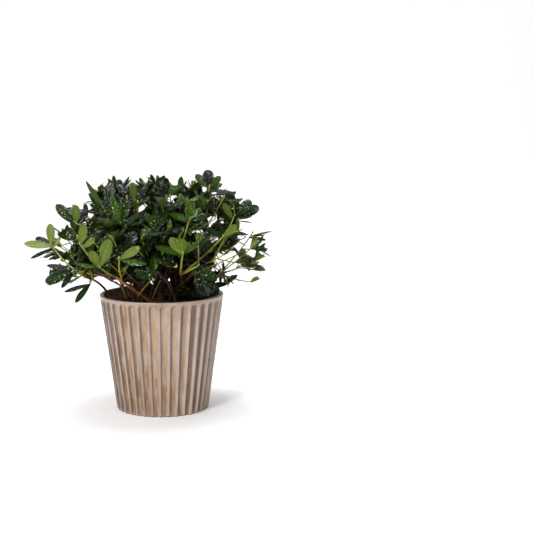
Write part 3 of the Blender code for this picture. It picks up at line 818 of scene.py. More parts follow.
def grown(name, limbs):
    """(stem, shoots, thicket) of one mass, drawn in the same order as for the solids.

    The stem is (start, end). A shoot is (start, tip, axis, limit, its leader's name or "", leaves)."""
    turn, rise, reach, seed = MASSES[name]
    rng = np.random.default_rng(seed)
    way = heading(turn, rise)
    path = limbs[list(MASSES).index(name)][0]
    onward = unit(path[-1] - path[-2])
    stem_start = path[-1] + onward * CLEARANCE
    stem_end = stem_start + onward * reach * (STEM_SHARE - BOUGH_SHARE)
    rods = [(stem_start, stem_end)]
    tips = []
    shoots = mass_shoots(name)
    for number, (toward, distance) in enumerate(shoots):
        leader = list(LEADERS)[(LEADER_WAYS @ toward).argmax()] if distance else ""
        stray = rng.uniform(-STRAY, STRAY, 3)
        inset = TIP_INSET + TIP_DEPTH * rng.uniform()
        sway = rng.uniform(-SWAY, SWAY, 3)
        if not distance:
            toward = unit(toward + stray)
            distance = reach_towards(toward[None])[0] - inset
        while room((HEART + toward * distance)[None], name) < SIDE_INSET:
            toward = unit(toward + TURN_BACK * way)
        tip = HEART + toward * distance
        start = stem_start + (stem_end - stem_start) * (1.0 - TWIGS_OVER * number / len(shoots))
        points = np.linspace(start, tip, 25)[2:]
        if room(points, name) > TWIG_RADIUS and clear_of_pot(points) and clear_of_limbs(points, limbs):
            rods.append((start, tip))
            axis = unit((1 - UPTURN) * toward + UPTURN * UP + sway)
            tips.append((start, tip, axis, distance + inset, leader))
    thicket = Thicket(rods, limbs)
    found = []
    for start, tip, axis, limit, leader in tips:
        leaves = shoot_leaves(rng, name, limbs, thicket, start, tip, axis, limit)
        found.append((start, tip, axis, limit, leader, leaves))
    return rods[0], found, thicket


def twig_path(start, tip, axis):
    """Points of a twig that bows by a share of its length and ends along its axis.

    A parabola: its middle point lies on the straight line, moved down and against the axis."""
    span = np.linalg.norm(tip - start)
    aside = unit(axis - unit(tip - start) + TWIG_SAG * UP + 1e-6)
    middle = start + TWIG_MIDDLE * (tip - start) - TWIG_BOW * span * aside
    return bend(start, middle, tip, TWIG_POINTS)


def point_on(path, depth):
    """The point of a path that lies this far back from its end, measured straight."""
    away = np.linalg.norm(path - path[-1], axis=1)
    place = np.interp(depth, away[::-1], np.arange(len(path))[::-1])
    low = int(min(place, len(path) - 2))
    return path[low] + (path[low + 1] - path[low]) * (place - low)


def kind_of(number, youth):
    """The kind of a leaf from its place in the spiral and how much younger its shoot is."""
    age = 1 if number < 2 else 2 if number < 5 else 3
    return LEAF_KINDS[max(age - youth, 0)]


def add_leaf(store, kind, leaf, shift=0.0, width=1.0):
    """Puts a leaf in the store, moved by the shift. Its width is a share of the usual one."""
    store[kind].append((leaf[0] + shift, *leaf[1:], width))


def in_metres(points):
    return [MILLIMETRE * np.array(point) for point in points]


def shoot_path(start, tip, axis, leader):
    """Points of a shoot's twig. The ones that show in the photograph leave their stems where it shows."""
    if leader in SHOWN_TWIGS:
        return bend(*in_metres(SHOWN_TWIGS[leader]), tip, TWIG_POINTS)
    return twig_path(start, tip, axis)


def seen(points):
    """(across, down, depth) of points from the photograph's camera: its pixels, and metres from it.

    The camera's turn short of a right angle is how far it looks down. Turned by that, the way to a point
    has a depth and a rise, and its place in the picture is the rise or the way aside over the depth."""
    dip = math.pi / 2 - CAMERA_TURN[0]
    away = np.asarray(points) - CAMERA_PLACE
    depth = away[..., 1] * math.cos(dip) - away[..., 2] * math.sin(dip)
    rise = away[..., 1] * math.sin(dip) + away[..., 2] * math.cos(dip)
    focal = PICTURE * CAMERA_LENS / CAMERA_SENSOR
    middle = PICTURE / 2
    return np.stack((middle + focal * away[..., 0] / depth, middle - focal * rise / depth, depth), axis=-1)


def blade_places(leaf, width):
    """Places over a leaf's blade past its root, drooping with the square of the way to its tip."""
    root, along, normal, length, droop = leaf
    t = np.linspace(0.35, 0.95, 5)[:, None, None]
    s = np.array((-0.3, 0.0, 0.3))[None, :, None]
    places = root + along * (length * t) + np.cross(normal, along) * (width * length * s)
    return (places - normal * (droop * length * t**2)).reshape(-1, 3)


class View:
    """The photographed side: the leaves and twigs that show there, and the gaps of sky."""

    def __init__(self, masses):
        shown = [seen(bend(*in_metres(row[:3]), 2 * TWIG_POINTS)) for row in SHOWN_STEMS]
        for _, shoots, _ in masses.values():
            for start, tip, axis, _, leader, _ in shoots:
                leaves = shown_leaves(leader, tip, axis)
                if leader in SHOWN_TWIGS:
                    shown.append(seen(shoot_path(start, tip, axis, leader)))
                shown += [seen(blade_places(leaf, width)) for _, leaf, width in leaves]
        self.shown = np.concatenate(shown)

    def blocked(self, points):
        """Whether a point hides what shows, hangs before the pot's rim or closes a gap of sky."""
        aside, front, height = RIM_VIEW
        if ((np.abs(points[:, 0]) < aside) & (points[:, 1] < front) & (points[:, 2] < height)).any():
            return True
        places = seen(points)
        apart = ((places[:, None, :2] - self.shown[None, :, :2]) ** 2).sum(axis=2)
        before = places[:, None, 2] < self.shown[None, :, 2] - VIEW_DEPTH
        into = ((places[:, None, :2] - SKY[None, :, :2]) / SKY[None, :, 2:]) ** 2
        return bool(((apart < VIEW_MARGIN**2) & before).any() or (into.sum(axis=2) < 1.0).any())

    def allows(self, leaf, shift=0.0):
        return not self.blocked(leaf_samples(leaf_corners(leaf)) + shift)


def shown_leaves(leader, tip, axis):
    """(kind, leaf, width over length) of the leaves that are placed one by one on a leader's shoot."""
    found = []
    for number, (end, side, width, kind) in enumerate(SHOWN_LEAVES.get(leader, ())):
        root = tip - axis * ROOTS_APART * number
        span = np.array(end) * MILLIMETRE - root
        span[1] += LEAN_BACK * max(span[2], 0.0) * (side == 1)
        along = unit(span)
        facing = LEVEL if side == 0 else FRONT * side
        facing = facing + FACING_SWAY * np.sin(np.array(end) * SHOWN_WAVES)
        normal = unit(facing - (facing @ along) * along)
        found.append((kind, (root, along, normal, np.linalg.norm(span), SHOWN_DROOP), width))
    return found


def new_store():
    return {kind: [] for kind in LEAF_KINDS}


def kept(store, fresh, twig, radii, bud=None, fewest=FEWEST_LEAVES):
    """Puts a shoot's twig, leaves and bud in the store if it has enough leaves, and whether it did."""
    if sum(len(leaves) for leaves in fresh.values()) < fewest:
        return False
    for kind, leaves in fresh.items():
        store[kind] += leaves
    store["twigs"].append((twig, *radii))
    if bud:
        store["buds"].append(bud)
    return True


def add_inner_shoots(name, limbs, store, view):
    """Short twigs with small old leaves on one mass's bough, where they keep clear of limbs and pot."""
    rng = np.random.default_rng(2 * FINER_SEED + MASSES[name][3])
    path, _ = limb_of(name, LIMB_RINGS)
    for _ in range(INNER_SHOOTS):
        place = int(rng.uniform(*INNER_SHARE) * (LIMB_RINGS - 2))
        lean, roll = rng.uniform(*SIDE_LEAN), rng.uniform(0.0, 2 * math.pi)
        toward, _ = leaning(unit(path[place + 1] - path[place]), lean, roll)
        end = path[place] + toward * rng.uniform(*INNER_LENGTH)
        if end[1] < INNER_FRONT or not clear_of_pot(np.linspace(path[place], end, 5)):
            continue
        twig = twig_path(path[place], end, unit(toward + INNER_UPTURN * UP))
        fresh = new_store()
        count, tilts, lengths, depths = INNER_ROW
        for _ in range(count):
            roll += GOLDEN
            tilt, length = math.radians(rng.uniform(*tilts)), rng.uniform(*lengths)
            root = point_on(twig, rng.uniform(*depths))
            droop, twist = rng.uniform(*LEAF_DROOP), rng.uniform(*LEAF_TWIST)
            leaf = leaf_at(root, toward, tilt, roll, length, droop, twist)
            points = leaf_samples(leaf_corners(leaf))
            if clear_of_pot(points) and clear_of_limbs(points, limbs) and view.allows(leaf):
                add_leaf(fresh, "old", leaf)
        kept(store, fresh, twig, (SIDE_TIP_RADIUS, SIDE_TIP_RADIUS))


def add_whorl(rng, name, limbs, thicket, store, view, path, axis, limit, rows, youth):
    """More leaves on a shoot. A row is (how many, tilts, lengths, depths, place in the spiral).

    On the photographed side only leaves that rise are kept well below the tip, so that the stems show."""
    roll = rng.uniform(0.0, 2 * math.pi)
    for count, tilts, lengths, depths, place in rows:
        for _ in range(count):
            roll += GOLDEN + rng.uniform(-WHORL_STRAY, WHORL_STRAY)
            tilt, length, depth = rng.uniform(*tilts), rng.uniform(*lengths), rng.uniform(*depths)
            root = point_on(path, depth)
            leaf = leaf_in_room(rng, name, limbs, thicket, limit, root, axis, tilt, roll, length)
            rises = depth < INNER_DEPTH or root[1] > 0.0 or (leaf and leaf[1][2] > 0.0)
            if leaf and rises and view.allows(leaf):
                kind = kind_of(place, youth) if place else LEAF_KINDS[0]
                add_leaf(store, kind, leaf, width=rng.uniform(*WIDTH_SPREAD))


def carried_on(name, mass, limbs, store, view):
    """Adds one mass to the store: its stem and twigs, its leaves of each kind, and a bud on each shoot.

    Each shoot of the rule gets young leaves at its heart, more leaves between the rule's own, and side
    shoots with a whorl of their own. A shoot that keeps too few leaves is left out."""
    settings = bpy.context.scene.azalea_leaves
    stem, shoots, thicket = mass
    rng = np.random.default_rng(FINER_SEED + MASSES[name][3])
    store["stems"].append((np.linspace(*stem, TWIG_POINTS), STEM_RADIUS, TWIG_RADIUS))
    add_inner_shoots(name, limbs, store, view)
    for start, tip, axis, limit, leader, leaves in shoots:
        youth = YOUNG_LEADERS.get(leader, 0)
        path = shoot_path(start, tip, axis, leader)
        placed = Thicket([(start, start + 0.1 * (path[1] - start))], [])
        fresh = new_store()
        shown = shown_leaves(leader, tip, axis)
        for kind, leaf, width in shown:
            blade = blade_of(leaf_corners(leaf))
            thicket.add(blade)
            placed.add(blade)
            add_leaf(fresh, kind, leaf, width=width / settings.width_share)
        for leaf, number in leaves:
            depth = np.linalg.norm(leaf[0] + leaf[1] * ROOT_SINK - tip)
            shift = point_on(path, depth) - (tip + unit(start - tip) * depth)
            blade = blade_of(leaf_corners(leaf)) + shift
            if view.allows(leaf, shift) and placed.takes(blade):
                add_leaf(fresh, kind_of(number, youth), leaf, shift, rng.uniform(*WIDTH_SPREAD))
        add_whorl(rng, name, limbs, thicket, fresh, view, path, axis, limit, HEART_ROWS, youth)
        radii = (TWIG_SLIMNESS * TWIG_RADIUS, TWIG_SLIMNESS * TWIG_TIP_RADIUS)
        radii = SHOWN_TWIG_RADIUS if leader in SHOWN_TWIGS else radii
        bud = (tip, axis, BUD_LENGTH * rng.uniform(*BUD_SPREAD))
        if not kept(store, fresh, path, radii, bud, 1 if shown else FEWEST_LEAVES):
            continue
        for _ in range(settings.side_shoots):
            share = rng.uniform(*SIDE_SHARE)
            root = path[int(share * (TWIG_POINTS - 1))]
            lean, roll = rng.uniform(*SIDE_LEAN), rng.uniform(0.0, 2 * math.pi)
            toward, _ = leaning(unit(tip - start), lean, roll)
            end = root + toward * rng.uniform(*SIDE_LENGTH)
            upward = unit(toward + SIDE_UPTURN * UP)
            points = np.linspace(root, end, 9)[1:]
            inside = limit - SIDE_INSIDE
            rises = root[1] > 0.0 or toward[2] > unit(tip - start)[2] + SIDE_RISE
            if not rises or not in_space(points, name, inside) or not clear_of_pot(points):
                continue
            short = twig_path(root, end, upward)
            fresh = new_store()
            add_whorl(rng, name, limbs, thicket, fresh, view, short, upward, inside, SIDE_ROWS, 0)
            radii = (TWIG_SLIMNESS * TWIG_TIP_RADIUS, SIDE_TIP_RADIUS)
            kept(store, fresh, short, radii, (end, upward, BUD_LENGTH * rng.uniform(*SIDE_BUD_SPREAD)))


def basal_stems():
    """Paths of thin stems that rise from the soil beside the trunk, each to a point on a bough.

    Each is a parabola that leaves the soil upright."""
    rng = np.random.default_rng(BASAL_SEED)
    paths = []
    for name in rng.choice([name for name in MASSES if name not in SIDE_STEMS], BASAL_STEMS):
        bough, _ = limb_of(str(name), LIMB_RINGS)
        end = bough[int(rng.uniform(*BASAL_END) * LIMB_RINGS)]
        turn = math.atan2(end[1] - HEART[1], end[0] - HEART[0]) + rng.uniform(*BASAL_TURN)
        away = rng.uniform(*BASAL_SPREAD)
        x, y = HEART[0] + away * math.cos(turn), HEART[1] + away * math.sin(turn)
        foot = np.array((x, y, SOIL_TOP - BASAL_SINK))
        rise = rng.uniform(*BASAL_RISE) * (end[2] - foot[2])
        paths.append(bend(foot, foot + UP * rise + rng.uniform(*BASAL_STRAY, 3), end, LIMB_RINGS))
    return np.array(paths)


def quads(rows, columns, wrapped=False):
    """The faces of a grid of points, row by row. A wrapped grid joins its last column to its first."""
    row = np.arange(rows - 1)[:, None]
    column = np.arange(columns if wrapped else columns - 1)[None, :]
    after = (column + 1) % columns
    corners = (row * columns + column, row * columns + after)
    return np.stack((*corners, corners[1] + columns, corners[0] + columns), axis=-1).reshape(-1, 4)


def circle(sides):
    """(turns, points) of a circle of radius one in the plane."""
    turn = np.linspace(0.0, 2 * math.pi, sides, endpoint=False)
    return turn, np.stack((np.cos(turn), np.sin(turn)), axis=1)


def polar(away, turn):
    """Places in the plane at these distances and turns."""
    return np.stack((away * np.cos(turn), away * np.sin(turn)), axis=-1)


def repeated(faces, count, points_each):
    """The faces of count like grids whose points follow one another."""
    return (faces[None] + np.arange(count)[:, None, None] * points_each).reshape(-1, 4)


def new_piece(name, points, faces, materials, slot, uv=None, marks=None, indices=None, crisp=False):
    """A mesh object from whole arrays: points, quads, UV by point and marks, which are point attributes.

    Points that lie in one place are joined. crisp keeps the edges sharp where two materials meet."""
    mesh = bpy.data.meshes.new(name)
    points = np.asarray(points, dtype=np.float32).reshape(-1, 3)
    faces = np.asarray(faces, dtype=np.int32)
    mesh.vertices.add(len(points))
    mesh.vertices.foreach_set("co", points.ravel())
    mesh.loops.add(faces.size)
    mesh.loops.foreach_set("vertex_index", faces.ravel())
    mesh.polygons.add(len(faces))
    mesh.polygons.foreach_set("loop_start", np.arange(0, faces.size, 4, dtype=np.int32))
    mesh.update(calc_edges=True)
    if uv is not None:
        layer = mesh.uv_layers.new(name="UVMap")
        layer.data.foreach_set("uv", np.asarray(uv, dtype=np.float32).reshape(-1, 2)[faces.ravel()].ravel())
    for label, values in (marks or {}).items():
        attribute = mesh.attributes.new(label, "FLOAT", "POINT")
        attribute.data.foreach_set("value", np.asarray(values, dtype=np.float32).ravel())
    for material in materials:
        mesh.materials.append(material)
    if indices is not None:
        mesh.polygons.foreach_set("material_index", np.asarray(indices, dtype=np.int32).ravel())
    work = bmesh.new()
    work.from_mesh(mesh)
    bmesh.ops.remove_doubles(work, verts=work.verts, dist=JOIN_WITHIN)
    bmesh.ops.dissolve_degenerate(work, edges=work.edges, dist=SHORTEST_EDGE)
    for edge in work.edges if crisp else ():
        edge.smooth = len({face.material_index for face in edge.link_faces}) < 2
    work.to_mesh(mesh)
    work.free()
    mesh.validate()
    mesh.shade_smooth()
    piece = bpy.data.objects.new(name, mesh)
    bpy.context.scene.collection.objects.link(piece)
    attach(piece, BODY)
    return piece


def tubes(paths, radii, sides, relief, seed):
    """(points, faces, uv) of round closed tubes carried along many paths at once.

    Each ring is the path's point plus its radius times cos and sin of the turn along two directions square
    to the path. The radius swells and shrinks by the relief: ridges of sines that run mostly lengthwise."""
    paths = np.asarray(paths)
    count, steps = paths.shape[:2]
    paths = np.concatenate((paths[:, :1], paths, paths[:, -1:]), axis=1)
    radii = np.concatenate((np.zeros((count, 1)), np.asarray(radii), np.zeros((count, 1))), axis=1)
    tangents = np.gradient(paths, axis=1)
    tangents[:, 0] = tangents[:, 1] = paths[:, 2] - paths[:, 1]
    tangents[:, -1] = tangents[:, -2] = paths[:, -2] - paths[:, -3]
    tangents /= np.linalg.norm(tangents, axis=2, keepdims=True)
    chord = paths[:, -1] - paths[:, 0]
    upright = np.abs(chord[:, 2:]) > 0.8 * np.linalg.norm(chord, axis=1, keepdims=True)
    side = np.cross(np.where(upright, (1, 0, 0), UP)[:, None], tangents)
    side /= np.linalg.norm(side, axis=2, keepdims=True)
    over = np.cross(tangents, side)
    turn, _ = circle(sides)
    along = np.concatenate(([0.0], np.linspace(0.0, 1.0, steps), [1.0]))
    length = np.linalg.norm(np.diff(paths, axis=1), axis=2).sum(axis=1)
    swell = np.zeros((count, steps + 2, sides))
    if relief:
        rng = np.random.default_rng(seed)
        for _ in range(SWELLS):
            rings, runs = rng.integers(1, 9), rng.uniform(-SWELL_RUN, SWELL_RUN)
            phase = rng.uniform(0.0, 2 * math.pi, (count, 1, 1))
            travel = runs * length[:, None, None] * along[None, :, None]
            swell += np.sin(rings * turn + travel + phase) / (1 + 0.25 * rings)
        swell *= relief / SWELL_DIVISOR
    ring = np.cos(turn)[:, None] * side[:, :, None] + np.sin(turn)[:, None] * over[:, :, None]
    points = paths[:, :, None] + ring * (radii[:, :, None] * (1.0 + swell))[..., None]
    faces = repeated(quads(steps + 2, sides, wrapped=True), count, (steps + 2) * sides)
    centimetres = along[None, :, None] * length[:, None, None] * 100.0
    uv = np.stack(np.broadcast_arrays(turn / (2 * math.pi), centimetres), axis=-1)
    return points, faces, uv


def tube_piece(name, paths, radii, skin, slot, sides, relief, seed):
    """A piece made of tubes in one material."""
    points, faces, uv = tubes(paths, radii, sides, relief, seed)
    return new_piece(name, points, faces, [skin], slot, uv=uv)


def leaf_blades(leaves, width_share, fold, arch):
    """(points, faces, uv, sides) of many leaves at once, each an upper and an under blade.

    t runs from root to tip and s from edge to edge. The half width is a stalk plus a power of t times a
    power of one less another power of t, which narrows the root, puts the widest place past the middle
    and rounds the tip, the more so the wider the leaf is. Each half of the blade rises from the midrib and
    curls down to its edge, and the whole droops with t squared. The under blade lies a thickness lower,
    less so towards its edges, which it shares with the upper one."""
    roots, ways, normals = (np.array([leaf[i] for leaf in leaves])[:, None, None] for i in range(3))
    length = np.array([leaf[3] for leaf in leaves])[:, None, None]
    droop = np.array([leaf[4] for leaf in leaves])[:, None, None]
    t = BLADE_ROWS[None, :, None]
    s = BLADE_COLUMNS[None, None, :]
    across = np.cross(normals, ways)
    width = np.array([leaf[5] for leaf in leaves])[:, None, None]
    tip_power = np.clip(POINTEDNESS[0] - POINTEDNESS[1] * width, *TIP_POWER)
    widest = ROOT_POWER / (ROOT_POWER + tip_power * TIP_FALL)
    fullest = widest ** (ROOT_POWER / TIP_FALL) * (1.0 - widest) ** tip_power
    body = t**ROOT_POWER * (1.0 - t**TIP_FALL) ** tip_power / fullest
    half = width_share * width * length / 2 * body + STALK_RADIUS * (1 - t)
    lift = half * (fold * np.abs(s) - arch * s**2) * body - droop * length * t**2
    middle = roots + ways * (length * t)[..., None]
    top = middle + across * (half * s)[..., None] + normals * lift[..., None]
    inner = (1.0 - s**2) * np.ones_like(t)
    inner[:, (0, -1)] = 0.0
    under = top - normals * (BLADE_THICKNESS * inner)[..., None]
    count, rows, columns = len(leaves), len(BLADE_ROWS), len(BLADE_COLUMNS)
    points = np.stack((top, under), axis=1)
    up_faces = quads(rows, columns)
    both = np.concatenate((up_faces[:, ::-1], up_faces + rows * columns))
    faces = repeated(both, count, 2 * rows * columns)
    plane = np.stack(np.broadcast_arrays(t, (s + 1) / 2), axis=-1)
    uv = np.broadcast_to(plane[None], (count, 2, *plane.shape[1:]))
    sides = np.tile(np.repeat((0, 1), len(up_faces)), count)
    return points, faces, uv, sides


def srgb(red, green, blue):
    """The scene-linear colour of a screen colour whose channels run to 255."""
    values = np.array((red, green, blue)) / 255.0
    linear = np.where(values <= 0.04045, values / 12.92, ((values + 0.055) / 1.055) ** 2.4)
    return tuple(float(value) for value in linear)


def scaled(colour, share):
    """The colour times a share, with no channel above one."""
    return tuple(min(share * channel, 1.0) for channel in colour)


class Nodes:
    """A node tree in the making. What a socket is fed is a plain value or another node's socket."""

    def __init__(self, tree):
        self.tree = tree

    def feed(self, socket, value):
        if isinstance(value, bpy.types.NodeSocket):
            self.tree.links.new(value, socket)
        else:
            socket.default_value = (*value, 1.0) if socket.type == "RGBA" else value

    def add(self, kind, fed, **settings):
        """The outputs of a new node with these settings, its inputs fed."""
        made = self.tree.nodes.new(kind)
        for label, value in settings.items():
            setattr(made, label, value)
        for label, value in fed.items():
            self.feed(made.inputs[label], value)
        return made.outputs

    def calc(self, operation, *values, clamp=False):
        """The result of one Math node."""
        return self.add("ShaderNodeMath", dict(enumerate(values)), operation=operation, use_clamp=clamp)[0]

    def less(self, value, taken):
        return self.calc("SUBTRACT", value, taken)

    def folded(self, operation, values, clamp):
        """The values worked together one after the other, the last result clamped if asked for."""
        total = values[0]
        for value in values[1:-1]:
            total = self.calc(operation, total, value)
        return self.calc(operation, total, values[-1], clamp=clamp)

    def plus(self, *values, clamp=False):
        return self.folded("ADD", values, clamp)

    def times(self, *values, clamp=False):
        return self.folded("MULTIPLY", values, clamp)

    def mixed(self, factor, first, second):
        """The first colour turning into the second as the factor goes from 0 to 1."""
        return self.add("ShaderNodeMix", {0: factor, 6: first, 7: second}, data_type="RGBA")[2]

    def remapped(self, value, low, high, to_low=0.0, to_high=1.0):
        """The value's smooth rise from to_low at low to to_high at high."""
        fed = {"Value": value, "From Min": low, "From Max": high, "To Min": to_low, "To Max": to_high}
        return self.add("ShaderNodeMapRange", fed, interpolation_type="SMOOTHSTEP")["Result"]


class Group(Nodes):
    """A shader node group in the making, with its named inputs and outputs."""

    def __init__(self, name, inputs, outputs):
        super().__init__(bpy.data.node_groups.new(name, "ShaderNodeTree"))
        for sockets, way in ((inputs, "INPUT"), (outputs, "OUTPUT")):
            for label, kind in sockets.items():
                self.tree.interface.new_socket(label, in_out=way, socket_type="NodeSocket" + kind)
        self.given = self.tree.nodes.new("NodeGroupInput").outputs
        self.out = self.tree.nodes.new("NodeGroupOutput").inputs


def mottle_group():
    """Soft cloudy patches: noise whose contrast can be raised, between 0 and 1."""
    if "mottle" in bpy.data.node_groups:
        return bpy.data.node_groups["mottle"]
    inputs = {"Vector": "Vector", "Scale": "Float", "Detail": "Float", "Contrast": "Float"}
    group = Group("mottle", inputs, {"Mask": "Float"})
    fed = {label: group.given[label] for label in ("Vector", "Scale", "Detail")}
    noise = group.add("ShaderNodeTexNoise", fed)[0]
    raised = group.times(group.less(noise, 0.5), group.given["Contrast"])
    group.feed(group.out["Mask"], group.plus(raised, 0.5, clamp=True))
    return group.tree


def blade_group():
    """The marks of a leaf: its midrib, and a relief of side veins with puckered skin between them.

    The UV runs along the leaf and across it. The side veins leave the midrib at an even spacing and run
    out towards the tip. The net between them is the distance to the edges of cells."""
    if "leaf_marks" in bpy.data.node_groups:
        return bpy.data.node_groups["leaf_marks"]
    outputs = {"Midrib": "Float", "Veins": "Float", "Relief": "Float"}
    group = Group("leaf_marks", {"UV": "Vector", "Position": "Vector"}, outputs)
    parted = group.add("ShaderNodeSeparateXYZ", {0: group.given["UV"]})
    aside = group.times(group.calc("ABSOLUTE", group.less(parted[1], 0.5)), 2.0)
    midrib = group.remapped(aside, 0.05, 0.17, 1.0, 0.0)
    phase = group.less(group.times(parted[0], SIDE_VEINS), group.times(aside, VEIN_SLANT))
    saw = group.calc("ABSOLUTE", group.less(group.calc("FRACT", phase), 0.5))
    veins = group.remapped(saw, 0.0, 0.16, 1.0, 0.0)
    fed = {"Vector": group.given["Position"], "Scale": VEIN_NET}
    cells = group.add("ShaderNodeTexVoronoi", fed, feature="DISTANCE_TO_EDGE")
    pucker = group.remapped(cells["Distance"], 0.0, 0.32)
    relief = group.less(group.less(pucker, group.times(veins, 0.8)), group.times(midrib, 1.4))
    for label, value in (("Midrib", midrib), ("Veins", veins), ("Relief", relief)):
        group.feed(group.out[label], value)
    return group.tree


class Skin(Nodes):
    """A material in the making: its shader's inputs, the object coordinates and the UV."""

    def __init__(self, name, values=None):
        self.material = bpy.data.materials.new(name)
        self.material.use_nodes = True
        super().__init__(self.material.node_tree)
        self.shader = self.tree.nodes["Principled BSDF"].inputs
        for label, value in (values or {}).items():
            self.feed(self.shader[label], value)
        places = self.add("ShaderNodeTexCoord", {})
        self.place, self.uv = places["Object"], places["UV"]

    def mottle(self, scale, contrast, detail=3.0, vector=None):
        """Cloudy patches over the object coordinates, or over another vector."""
        fed = {"Vector": vector or self.place, "Scale": scale, "Detail": detail, "Contrast": contrast}
        return self.add("ShaderNodeGroup", fed, node_tree=mottle_group())["Mask"]

    def mark(self, name):
        return self.add("ShaderNodeAttribute", {}, attribute_name=name)["Fac"]

    def dressed(self, colour, roughness, height, distance):
        """The finished material, with its colour, its roughness and a relief of this distance in metres."""
        self.feed(self.shader["Base Color"], colour)
        self.feed(self.shader["Roughness"], roughness)
        fed = {"Height": height, "Distance": distance, "Strength": 1.0}
        self.feed(self.shader["Normal"], self.add("ShaderNodeBump", fed)[0])
        return self.material


def leaf_material(name, colour, vein_colour, gloss, shine, relief):
    """A leaf's skin: cloudy green, a lighter midrib and veins, and a puckered glossy surface."""
    skin = Skin(name, {"Specular IOR Level": shine})
    marks = skin.add("ShaderNodeGroup", {"UV": skin.uv, "Position": skin.place}, node_tree=blade_group())
    ground = skin.mixed(skin.mottle(38.0, 2.2), scaled(colour, 0.5), colour)
    ribbed = skin.plus(skin.times(marks["Midrib"], 0.75), skin.times(marks["Veins"], 0.16), clamp=True)
    rough = skin.plus(skin.times(skin.mottle(300.0, 1.6), 0.12), gloss)
    return skin.dressed(skin.mixed(ribbed, ground, vein_colour), rough, marks["Relief"], relief)


def bark_material(name, colour, pale, relief, cracks):
    """Thin bark: the colour with paler flakes, darker cracks that run lengthwise, and a fine grain."""
    skin = Skin(name)
    drawn = skin.add("ShaderNodeMapping", {"Vector": skin.uv, "Scale": (5.0, 1.1, 1.0)})[0]
    cloud = skin.mottle(150.0, 3.0)
    crack = skin.mottle(2.4, 4.0, 5.0, drawn)
    ground = skin.mixed(skin.times(cloud, 0.6), colour, pale)
    shade = skin.times(skin.less(1.0, crack), cracks)
    height = skin.plus(crack, skin.times(skin.mottle(900.0, 2.0), 0.4))
    rough = skin.less(0.8, skin.times(cloud, 0.2))
    return skin.dressed(skin.mixed(shade, ground, scaled(colour, 0.35)), rough, height, relief)


def soil_material(name, colour, relief):
    """Crumbly earth of the colour and a paler one, smoother where it is damp."""
    skin = Skin(name)
    crumb = skin.mottle(420.0, 2.5, 6.0)
    rough = skin.plus(skin.times(skin.mottle(60.0, 3.0), 0.3), 0.65)
    return skin.dressed(skin.mixed(crumb, colour, scaled(colour, 2.4)), rough, crumb, relief)


def glaze_outside(settings):
    """The pot's two-tone glaze: mauve grey where it broke thin over the ridges, tan and gold pooled in the
    flutes, streaked lengthwise. The gold is deeper low down, and deeper on the left as painted shade. The
    ridges are paler on the right, partly as painted light. A dark line of patina and painted shade runs along
    the flutes' walls, stronger at the pot's sides. The flutes darken at the far right with painted shade,
    and there are brown blotches near the rim."""
    skin = Skin("glaze_outside", {"Coat Weight": 0.3, "Coat Roughness": 0.14})
    flute, wall = skin.mark("flute"), skin.mark("wall")
    where = skin.add("ShaderNodeSeparateXYZ", {0: skin.place})
    drawn = skin.add("ShaderNodeMapping", {"Vector": skin.place, "Scale": (1.0, 1.0, 0.07)})[0]
    streak = skin.mottle(300.0, 3.6, vector=drawn)
    cloud = skin.mottle(42.0, 2.6)
    speck = skin.mottle(520.0, 3.0, 4.0)
    low, high = (skin.remapped(where[2], *part) for part in (LOW_PART, HIGH_PART))
    left, right, rightmost_shade = (skin.remapped(where[0], *part) for part in (LEFT_PART, RIGHT_PART, RIGHTMOST_SHADE))
    # Gold pooled low down, and deeper on the left as painted shade
    gold = skin.plus(skin.times(low, 0.45), skin.times(left, 0.6), 0.2)
    gold = skin.times(gold, skin.plus(streak, 0.3), clamp=True)
    pooled = skin.mixed(gold, settings.flute_colour, settings.gold_colour)
    # Paler ridges: cloudy patches of the glaze, with painted light towards the right
    paler = skin.plus(skin.times(cloud, 0.5), skin.times(right, 0.5), clamp=True)
    pale = skin.mixed(paler, settings.ridge_colour, settings.ridge_pale_colour)
    pool = skin.remapped(skin.plus(flute, skin.times(streak, 0.25)), 0.45, 1.15)
    # The dark line along the walls: patina, with painted shade that makes it wider and stronger at the pot's
    # sides
    first = skin.less(LINE_START, skin.times(right, LINE_LESS_RIGHT))
    first = skin.less(first, skin.times(left, LINE_LESS_LEFT))
    line = skin.remapped(wall, first, skin.plus(first, LINE_WIDTH))
    strength = skin.plus(skin.times(right, 0.50), skin.times(left, 0.40), 0.40)
    patina_shade_lines = skin.times(line, strength, skin.plus(skin.times(streak, 0.35), 0.75), clamp=True)
    # Painted shade: the flutes' floors are darkened towards the pot's far right
    shaded = skin.times(skin.remapped(flute, 0.45, 1.05), rightmost_shade, 0.9)
    patina_and_shade = skin.calc("MAXIMUM", patina_shade_lines, shaded)
    patina_shade_mixed = skin.mixed(patina_and_shade, skin.mixed(pool, pale, pooled), settings.patina_colour)
    stain = skin.times(skin.mottle(70.0, 5.0, 5.0), high, 0.35)
    stained = skin.mixed(stain, patina_shade_mixed, settings.stain_colour)
    dusted = skin.mixed(skin.times(speck, 0.12), stained, settings.ridge_pale_colour)
    rough = skin.plus(skin.times(cloud, 0.16), skin.times(speck, 0.1), 0.24)
    uneven = skin.plus(skin.times(streak, 0.5), skin.times(speck, 0.25))
    return skin.dressed(dusted, rough, uneven, 0.00025)


